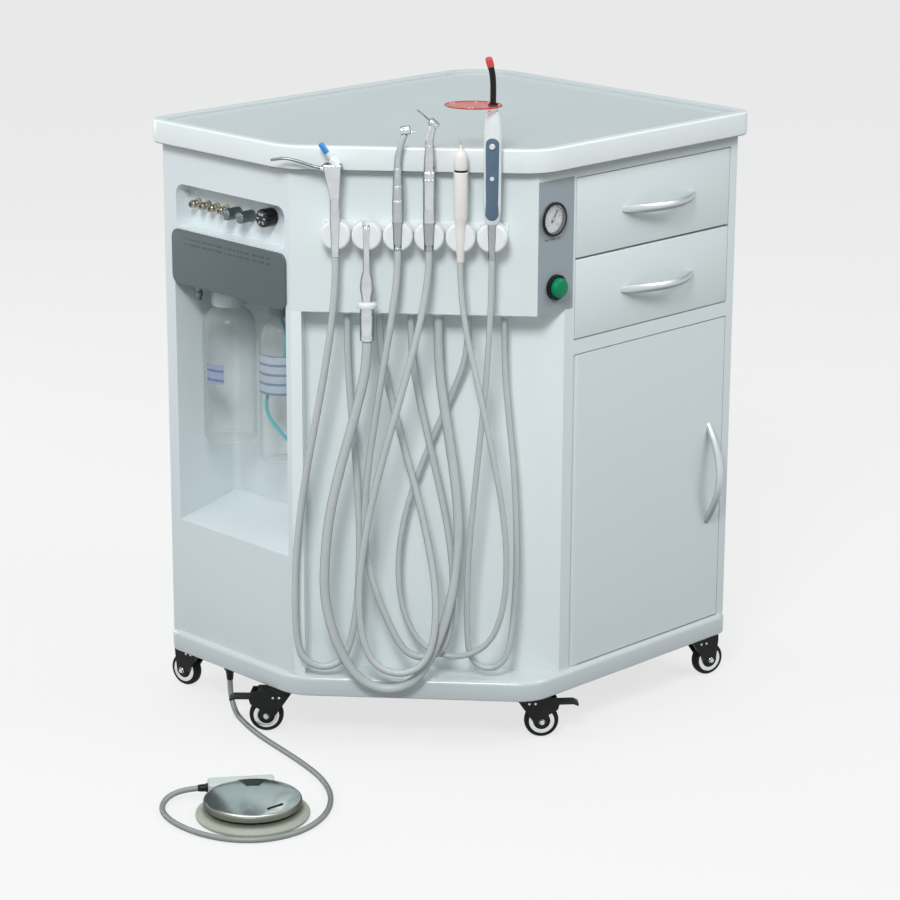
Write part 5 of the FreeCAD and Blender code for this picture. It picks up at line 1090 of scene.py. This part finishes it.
# ---------------------------------------------------------------- High-speed and low-speed handpieces
# Satin and chromed steel barrels with grip rings and a duller hose coupling; each neck bends to a
# small round head with a push cap and a bur, steeply on the low-speed one's geared contra-angle.
def satin_steel(at):
    """Fine bead-blasted stainless steel with brushed grip bands, a cloudy haze, and painted shade towards its
    outline.
    """
    up = at.part(2)
    bands = up.maths("PINGPONG", up, 0.009).fade(0.0064, 0.007)
    haze = at.clouds(0.015, 4.0)
    # painted shade: the colour darkens towards the outline, besides the haze
    dark = haze * 0.2 + at.sidelong().fade(0.25, 0.8) * 0.8
    return {"Base Color": dark.tint((196, 203, 207), (96, 104, 110)), "Metallic": 0.9,
            "Roughness": 0.28 + bands * 0.12 + haze * 0.1,
            "Normal": at.relief(bands * 0.6 + at.clouds(0.0007) * 0.3, 0.00005)}


satin = finish("satin_steel", satin_steel)


def dull_coupling(form, tone):
    """Gives a handpiece's hose coupling, the part under its holder, a duller finish."""
    for face in form.faces:
        if face.calc_center_median().z < 771:
            face.material_index = tone


high_speed = bmesh.new()
turned(high_speed, [(0, 733), (4.6, 733), (5.6, 733.6), (5.8, 736), (5.3, 737), (5.3, 739.5), (6.0, 740.4),
                    (6.4, 743), (7.6, 772.7), (7.7, 784), (7.6, 800), (7.2, 814), (6.9, 822), (6.5, 822.6),
                    (6.5, 824.2), (6.7, 824.8), (6.3, 834), (5.7, 842), (5.2, 847), (0, 847)], soft=0.18)
turned(high_speed, [(7.55, 800), (7.75, 800.4), (7.75, 802), (7.5, 802.4)], tone=1, steps=40)
bent_rod(high_speed, [(0, 0, 843, 5.3), (0, 0, 852, 5.0), (0.8, 0, 862, 4.7), (3.6, 0, 876, 4.3),
                      (8.0, 0, 888, 4.0), (10, 0, 893, 3.8)])
turned(high_speed, [(0, 0), (4.6, 0), (5.4, 0.5), (5.8, 1.4), (5.8, 3.0), (5.4, 3.3), (5.4, 3.9), (5.8, 4.2),
                    (5.8, 12.4), (5.4, 13.3), (4.6, 13.9), (2.2, 14), (2.0, 13.4), (0, 13.4)],
       (3.5, 0, 897), lean(-80), soft=0.12, tone=1)
turned(high_speed, [(0, 0), (0.8, 0), (0.8, 4.2), (0.5, 4.6), (0.75, 5.2), (0.6, 6), (0, 6)],
       (17, 0, 895.7), lean(-80), tone=1, steps=16)
dull_coupling(high_speed, 2)
put("high_speed_handpiece_body", high_speed, holder_place(152.1), [satin, polished_chrome, dull_chrome],
    "high_speed_handpiece", "high_speed_handpiece", slot="steel")
low_speed = bmesh.new()
turned(low_speed, [(0, 733), (5.2, 733), (6.2, 733.6), (6.2, 737), (5.8, 738), (5.8, 740), (6.8, 741),
                   (7.2, 743), (8.6, 772.7), (8.6, 790), (8.3, 791), (8.3, 793), (8.6, 794), (8.6, 826),
                   (9.0, 828.6), (9.0, 832), (8.6, 832.6), (8.6, 834), (9.0, 834.6), (9.0, 841), (7.8, 843),
                   (7.6, 850), (7.2, 862), (6.4, 866), (6.2, 872), (6.0, 879), (0, 879)], soft=0.2)
turned(low_speed, [(8.95, 829.5), (9.1, 829.8), (9.1, 831.4), (8.95, 831.7)], tone=1)
bent_rod(low_speed, [(0, 0, 875, 5.9), (0, 0, 882, 5.6), (1.2, 0, 890, 5.1), (3.6, 0, 900, 4.7),
                     (5.4, 0, 905, 4.4)])
turned(low_speed, [(0, 0), (4.0, 0), (4.9, 0.5), (5.2, 1.3), (5.2, 3.4), (4.8, 3.7), (4.8, 4.3), (5.2, 4.6),
                   (5.2, 12.4), (4.8, 13.4), (3.8, 13.9), (0, 14)], (11, 0, 903.5), lean(50), soft=0.12,
       tone=1)
turned(low_speed, [(0, 0), (1.0, 0), (1.0, 17), (0.7, 17.6), (1.0, 18.4), (0.9, 21.4), (0.4, 22), (0, 22)],
       (0.3, 0, 912.5), lean(50), tone=2, steps=16)
dull_coupling(low_speed, 3)
put("low_speed_handpiece_body", low_speed, holder_place(194.9),
    [polished_chrome, satin, nozzle_steel, dull_chrome], "low_speed_handpiece", "low_speed_handpiece",
    slot="steel")

# ---------------------------------------------------------------- Ultrasonic scaler
# A cream-white autoclavable handle in two shells with a dark seal between them, a cone nose and a
# thin hooked steel tip.
scaler = bmesh.new()
turned(scaler, [(0, 718), (4.6, 718), (5.4, 718.8), (5.4, 727), (5.8, 729), (6.0, 731.3), (7.4, 764.7),
                (7.8, 772.7), (9.2, 778), (10.0, 783), (10.0, 842), (9.6, 842.8), (9.1, 843)], soft=0.25)
turned(scaler, [(9.1, 843), (9.0, 843.2), (9.0, 845.8), (9.2, 846)], tone=1)
turned(scaler, [(9.2, 846), (9.6, 847), (9.8, 851), (9.8, 857), (9.4, 861), (8.6, 865.4), (7.5, 868.6),
                (6.2, 870.9), (4.6, 872.8), (3.0, 874), (1.8, 874.6), (1.5, 876), (1.2, 880), (0, 880)],
       soft=0.15)
bent_rod(scaler, [(0, 0, 876, 1.0), (0, 0, 880, 0.95), (-1.6, 0, 885, 0.9), (-2.8, 0, 889, 0.7),
                  (-2.5, 0, 893, 0.45)], tone=2, resolution=3)
cream = finish("cream_handpiece_plastic", handpiece_plastic((238, 236, 233), (222, 221, 216)))
put("ultrasonic_scaler_handle", scaler, holder_place(237.7), [cream, black_plastic, polished_chrome],
    "ultrasonic_scaler", "ultrasonic_scaler", slot="handpiece_grey")

# ---------------------------------------------------------------- Curing light
# An oval white wand with a long slate-blue soft grip on each face, a round switch and a small key in
# the front one, a black light guide with a red end cap, and an oval orange shield over the guide.
wand_place = holder_place(280.5)
wide, thick = 1.07, 0.92
wand = bmesh.new()
turned(wand, [(0, 722), (4.2, 722), (4.8, 722.6), (5.2, 724), (5.2, 727), (4.9, 728), (4.9, 729.4),
              (5.3, 730), (5.6, 731.3), (6.8, 772.7), (6.8, 776), (0, 776)], soft=0.2, tone=1)
wand_side = [(6.6, 771), (7.6, 772), (8.4, 774), (10.0, 780), (10.9, 788), (11.1, 800), (11.2, 850),
             (11.2, 894), (10.8, 904), (10.1, 912), (9.2, 918), (8.4, 922.5), (7.6, 925.4), (7.0, 926)]
for v in turned(wand, [(0, 771)] + wand_side + [(0, 926)], steps=48):
    v.co.x *= wide
    v.co.y *= thick
put("curing_light_wand", wand, wand_place, [moulded_white, dull_chrome], "curing_light", "curing_light",
    slot="handpiece_grey")


def soft_grip(at):
    """Slate-blue soft-touch rubber with a faint mottled bloom."""
    bloom = at.clouds(0.006, 4.0)
    return {"Base Color": bloom.tint((74, 97, 118), (92, 114, 134)), "Roughness": 0.5 + bloom * 0.12,
            "Normal": at.relief(at.clouds(0.0008), 0.00004)}


def wand_reach(level):
    """The wand's radius at this height, before it is flattened to an oval."""
    for (low_reach, low), (high_reach, high) in zip(wand_side, wand_side[1:]):
        if low <= level <= high:
            return low_reach + (high_reach - low_reach) * (level - low) / (high - low)


# each pad is a ball drawn out lengthwise, pressed flat and laid on the wand's oval face
pads = bmesh.new()
for side in (-1, 1):
    for v in bmesh.ops.create_uvsphere(pads, u_segments=40, v_segments=28, radius=9.2)["verts"]:
        level = v.co.z + (882.0 if v.co.z > 0 else 787.0)
        out = thick * math.sqrt(wand_reach(level) ** 2 - (v.co.x / wide) ** 2) + v.co.y * 0.09
        v.co = (v.co.x, side * out, level)
turned(pads, [(0, 10.2), (2.7, 10.2), (3.0, 10.9), (2.6, 11.5), (1.2, 11.7), (0, 11.7)], (0, 0, 836), FORWARD,
       tone=1, steps=24)
put("curing_light_grip_pads", pads, wand_place, [finish("slate_grip", soft_grip), white_button],
    "curing_light", slot="handpiece_grey")
switch = bmesh.new()
turned(switch, [(0, 7.5), (4.0, 7.5), (4.0, 12.0), (3.6, 13.4), (3.0, 14.0), (1.4, 13.6), (0, 13.5)],
       (0, 0, 880), FORWARD, soft=0.2, steps=28)
put("curing_light_switch", switch, wand_place, [white_button], "curing_light_button",
    "curing_light_button", slot="white_plastic")


def red_cap(at):
    """Glossy red moulding with a thick clear skin."""
    return {"Base Color": at.clouds(0.006, 3.0).tint((196, 44, 40), (210, 62, 54)),
            "Roughness": 0.16 + at.clouds(0.003) * 0.12,
            "Coat Weight": 0.6, "Coat Roughness": 0.06, "Normal": at.relief(at.clouds(0.002), 0.00001)}


guide = bmesh.new()
turned(guide, [(0, 926), (6.2, 926), (6.5, 926.4), (6.5, 928.4), (6.1, 928.9), (6.1, 930), (6.5, 930.5),
               (6.5, 932.4), (6.0, 932.7), (0, 932.7)], soft=0.15, tone=2)
bent_rod(guide, [(0, 0, 931, 4.2), (0, 0, 946, 4.2), (0, 0, 964, 4.2), (-1.3, 0, 978, 4.2),
                 (-4.2, 0, 988, 4.2), (-6, 0, 994, 4.2)])
turned(guide, [(0, 0), (4.7, 0), (5.0, 0.6), (5.0, 10.6), (4.6, 12.4), (3.4, 13.6), (1.6, 14), (0, 14)],
       (-3.2, 0, 985.8), lean(17), tone=1, steps=28)
black_light_guide = finish("black_light_guide", satin_black((12, 10, 11), (26, 23, 24), 0.14, 0.3))
put("curing_light_guide_rod", guide, wand_place,
    [black_light_guide, finish("red_end_cap", red_cap), bright_steel],
    "curing_light", "curing_light_guide", slot="orange_shield")


def orange_filter(at):
    """Clear orange acrylic: deeper at the rim, with hairline wiping scratches."""
    scratches = at.scaled(1.0, 6.0, 1.0).clouds(0.02, 5.0, 1.0).fade(0.62, 0.72)
    upward = at.node("ShaderNodeNewGeometry", output=3).part(2)
    edge = 1 - upward.maths("ABSOLUTE", upward).fade(0.6, 0.95)
    return {"Base Color": (edge * 0.9).tint((240, 96, 76), (196, 34, 30)),
            "Roughness": 0.08 + scratches * 0.2, "IOR": 1.45, "Transmission Weight": 0.3,
            "Alpha": 0.42 + edge * 0.5 + scratches * 0.1, "Normal": at.relief(scratches, 0.00001)}


shield = bmesh.new()
turned(shield, [(0, 0.5), (33, 0.1), (37.4, 0.0), (38.6, 0.35), (39.1, 1.0), (39.1, 1.6), (38.6, 2.3),
                (37.6, 2.5), (33, 2.4), (0, 2.5)], steps=72)
# the disc is pressed to an oval and moved to the left, so that the guide passes through its right side
for v in shield.verts:
    v.co.y *= 30.0 / 39.5
    v.co.x -= 26.5
turned(shield, [(4.5, -1.0), (6.4, -1.0), (6.6, -0.6), (6.6, 3.4), (6.2, 3.8), (4.5, 3.8), (4.5, -1.0)],
       soft=0.2, tone=1, steps=32)
put("curing_light_shield", shield, holder_place(280.5, z=932.75),
    [finish("orange_filter", orange_filter), black_plastic],
    "curing_light", "curing_light_guide", slot="orange_shield")

# ---------------------------------------------------------------- Castors
# Five 50 mm furniture castors: a black pressed plate and fork with bright rivets, a black tyre on a
# moulded wheel with a bright hub ring, and on two of them a grey-black brake lever.
hub, sideways = (25, 0, 25), (0, 1, 0)
# where each castor stands in the cabinet's plan, and how far it is turned
castors = {1: (-288, 248, 100), 2: (-310, 32, 135), 3: (-76, -228, -40), 4: (284, -240, -16),
           5: (258, 206, 55)}
fork_paint = finish("fork_black", satin_black((15, 16, 17), (30, 31, 32), 0.28, 0.25))


def tyre_rubber(at):
    """Black moulded tread, dusty grey where it has rolled."""
    dust = at.clouds(0.008, 5.0).fade(0.42, 0.8)
    return {"Base Color": (dust * 0.35).tint((16, 16, 17), (70, 70, 70)), "Roughness": 0.6 + dust * 0.2,
            "Specular IOR Level": 0.2, "Normal": at.relief(at.clouds(0.0012, 3.0), 0.00012)}


tyre = finish("castor_tyre", tyre_rubber)
hub_ring = finish("hub_ring", plated_steel((222, 225, 227), (196, 200, 203), 0.2))


def castor_place(number):
    """The place of a castor under its king pin, turned the way that it trails."""
    x, y, turn = castors[number]
    return CABINET @ Matrix.Translation((x, y, 0)) @ Matrix.Rotation(math.radians(turn), 4, "Z")


plates = bmesh.new()
for number in castors:
    before = set(plates.verts)
    block(plates, (-19, -19, 67), (19, 19, 70), soft=0.8)
    turned(plates, [(0, 59.4), (9, 59.4), (9, 61.4), (6, 61.6), (6, 67), (0, 67)], soft=0.3, steps=28)
    turned(plates, [(0, 58.9), (4.4, 58.9), (5.2, 59.5), (0, 59.5)], tone=1, steps=24)
    for sx in (-13.5, 13.5):
        for sy in (-13.5, 13.5):
            turned(plates, [(0, 65.6), (2.2, 65.8), (3.0, 66.6), (3.0, 67.1), (0, 67.1)], (sx, sy, 0), tone=1,
                   steps=20)
    under_cabinet = CABINET.inverted() @ castor_place(number)
    bmesh.ops.transform(plates, matrix=under_cabinet, verts=new_points(plates, before))
put("castor_plates_and_screws", plates, CABINET, [fork_paint, bright_steel], "cabinet", "castor_plates",
    slot="black_metal")
dress(fork_paint, *["castor_fork_%d" % number for number in castors])
for number in castors:
    place = castor_place(number)
    wheel = bmesh.new()
    turned(wheel, [(18.6, -7.2), (21.4, -7.2), (23.4, -6.2), (24.6, -4.4), (25.0, -2.0), (25.0, 2.0),
                   (24.6, 4.4), (23.4, 6.2), (21.4, 7.2), (18.6, 7.2)], hub, sideways, steps=64)
    for side in (-1, 1):
        turned(wheel, [(18.6, 7.2 * side), (18.2, 7.8 * side), (17.2, 8.2 * side), (13.0, 8.2 * side),
                       (12.4, 7.9 * side)], hub, sideways, tone=1, steps=64)
        turned(wheel, [(12.4, 7.9 * side), (12.0, 7.2 * side), (8.0, 7.2 * side), (7.2, 7.6 * side),
                       (6.8, 8.8 * side), (4.1, 9.0 * side)], hub, sideways, tone=2, steps=64)
    turned(wheel, [(4.1, -9), (4.1, 9)], hub, sideways, tone=2, steps=64)
    node = "castor_wheel_%d" % number
    put(node + "_tyre_and_hub", wheel, place, [tyre, hub_ring, black_plastic], node, node, slot="tread")
    studs = bmesh.new()
    for side in (-1, 1):
        turned(studs, [(0, 0), (4.6, 0), (4.6, 0.6), (3.9, 1.2), (3.2, 2.4), (1.6, 2.9), (0, 2.9)],
               (25, 12.8 * side, 25), (0, side, 0), soft=0.15, steps=24)
        for x in (6, 15):
            turned(studs, [(0, 0), (1.9, 0), (1.7, 0.7), (1.0, 1.1), (0, 1.2)], (x, 12.9 * side, 54),
                   (0, side, 0), steps=18)
    put("castor_fork_%d_rivets" % number, studs, place, [bright_steel], "castor_fork_%d" % number,
        slot="black_metal")
brake_plastic = finish("brake_lever_plastic", satin_black((34, 36, 38), (56, 58, 60), 0.36))
for brake, number in ((1, 2), (2, 3)):
    lever = bmesh.new()
    before = set(lever.verts)
    side_face = lever.faces.new([lever.verts.new((x, -9.7, z)) for x, z in (
        (45, 50), (71, 50), (78, 47), (79, 50.5), (72, 54), (45, 54))])
    pull(lever, [side_face], (0, 19.4, 0))
    settle(lever, before, soft=0.9)
    turned(lever, [(2.06, -9.7), (5, -9.7), (5, 9.7), (2.06, 9.7), (2.06, -9.7)], (45, 0, 49), sideways,
           soft=0.3, steps=36)
    for x in (58, 62, 66):
        block(lever, (x - 0.7, -8.0, 53.8), (x + 0.7, 8.0, 54.7), soft=0.3)
    node = "castor_brake_%d" % brake
    put(node + "_lever", lever, castor_place(number), [brake_plastic], node, node, slot="black_metal")

# ---------------------------------------------------------------- Foot control
# A low round dish of beige translucent plastic with a pale valve box at its back, and over it a
# chromed pressed-steel cap that tips the valve when a foot presses it.
PEDAL = CABINET @ Matrix.Translation(PEDAL_CENTRE) @ PEDAL_TURN


def beige_plastic(at):
    """Translucent beige moulding, darker in patches, with a painted shadow in the well under the cap."""
    patches = at.clouds(0.03, 4.0)
    middle = PEDAL.to_translation()
    flat = at.scaled(1.0, 1.0, 0.0)
    reach = flat.node("ShaderNodeVectorMath", {"operation": "DISTANCE"}, {0: flat, 1: middle}, 1)
    tint = (patches * 0.8).tint((170, 175, 162), (150, 155, 142))
    # painted shadow: dark close to the middle, in the well under the cap
    return {"Base Color": reach.fade(0.0655, 0.0725).tint((96, 100, 88), tint),
            "Roughness": 0.3 + patches * 0.2, "Subsurface Weight": 0.12,
            "Subsurface Radius": (0.008, 0.007, 0.005), "Subsurface Scale": 0.3,
            "Normal": at.relief(at.clouds(0.002, 3.0), 0.00005)}


pedal = bmesh.new()
turned(pedal, [(9.3, 3), (9.3, 13), (15, 13), (15, 8), (60, 8), (60, 13.6), (61, 14), (63, 13.6), (64, 13),
               (76, 6.4), (77.6, 5.2), (78, 4), (78, 2), (77, 0.8), (75.5, 0), (9.3, 0), (9.3, 3)],
       soft=0.25, steps=96)
put("foot_control_dish", pedal, PEDAL, [finish("beige_plastic", beige_plastic)], "cabinet",
    "foot_control_base", slot="pedal_base")
# the valve box's inner side follows the dish's round wall
valve_box = bmesh.new()
bow = [(x, math.sqrt(68.5 ** 2 - x * x)) for x in range(36, -45, -8)]
slab(valve_box, [(36, 82), (-56, 82), (-56, 52), (-44.6, 52)] + bow[::-1], 0.6, 24)
ease(valve_box, [e for e in creases(valve_box, 50) if run(e, 2) > 5], 5.0, 5)
ease(valve_box, above(valve_box, 23.9), 2.2, 4)
turned(valve_box, [(4.1, 0), (6.4, 0), (6.4, 2.5), (5.4, 3.2), (5.2, 9), (4.4, 14), (4.1, 14), (4.1, 0)],
       (-56, 70, 14), (-1, 0, 0), soft=0.2, tone=1, steps=28)
pale_green = finish("pale_green_plastic", handpiece_plastic((196, 206, 202), (178, 190, 186)))
put("foot_control_valve_box", valve_box, PEDAL, [pale_green, black_plastic], "cabinet", "foot_control_base",
    slot="pedal_base")
cap = bmesh.new()
turned(cap, [(0, 7), (9, 7), (9, 29.6), (33, 28.8), (56.5, 24.2), (63.5, 20.4), (64, 17.2), (64.6, 17),
             (66.4, 17), (67, 17.6), (67, 23.2), (66.5, 24.6), (65.2, 25.8), (62.4, 26.8), (57, 28.0),
             (45, 30.2), (33, 31.7), (22, 32.9), (12, 33.7), (5, 34), (0, 34)], steps=96)
for face in cap.faces:
    face.material_index = 1 if face.calc_center_median().z < 26.2 else 0
pressed_chrome = finish("pressed_chrome", chrome((236, 243, 240), (196, 208, 204), 0.12))
# painted shade: the cap's side wall is a darker copy of the chrome
shaded_cap_wall = finish("shaded_cap_wall", chrome((122, 127, 116), (72, 76, 68), 0.42))
put("foot_control_cap", cap, PEDAL, [pressed_chrome, shaded_cap_wall], "foot_control_cover", "foot_control_cover",
    slot="chrome")
# a short straight slot, and a broad one that follows the cap's crown
slots = bmesh.new()
block(slots, (48, -13, 28.3), (51.4, 13, 30.4), soft=0.8)
bmesh.ops.rotate(slots, matrix=Matrix.Rotation(math.radians(-58), 3, "Z"), verts=slots.verts)
before = set(slots.verts)
edge_points = [slots.verts.new((r, 0, z)) for r, z in (
    (26, 32.9), (34, 32.05), (46, 30.5), (52, 29.4), (58, 28.3), (61.5, 27.5))]
edge_line = [slots.edges.new(pair) for pair in zip(edge_points, edge_points[1:])]
bmesh.ops.spin(slots, geom=edge_points + edge_line, cent=(0, 0, 0), axis=(0, 0, 1), angle=math.radians(38),
               steps=16)
bmesh.ops.rotate(slots, matrix=Matrix.Rotation(math.radians(66), 3, "Z"), verts=new_points(slots, before))
bmesh.ops.solidify(slots, geom=new_faces(slots, before), thickness=0.6)
put("foot_control_cap_slots", slots, PEDAL, [black_plastic], "foot_control_cover", slot="black_plastic")


# ---------------------------------------------------------------- Compressor
# An oil-free compressor stands in the cupboard behind the door: a painted tank on rubber feet, the
# motor over it and two finned cast pump heads.
def compressor_finish(at):
    """Grey hammer paint on the tank, bare cast aluminium on the pump."""
    pump = at.part(2).fade(0.302, 0.306)
    hammer = at.clouds(0.004, 2.0, 0.4)
    return {"Base Color": pump.tint(hammer.tint((176, 184, 188), (156, 165, 170)),
                                    hammer.tint((150, 153, 155), (128, 131, 134))),
            "Metallic": pump * 0.8, "Roughness": 0.34 + hammer * 0.2,
            "Normal": at.relief(hammer, 0.0002)}


dress(finish("compressor_paint", compressor_finish), "compressor")
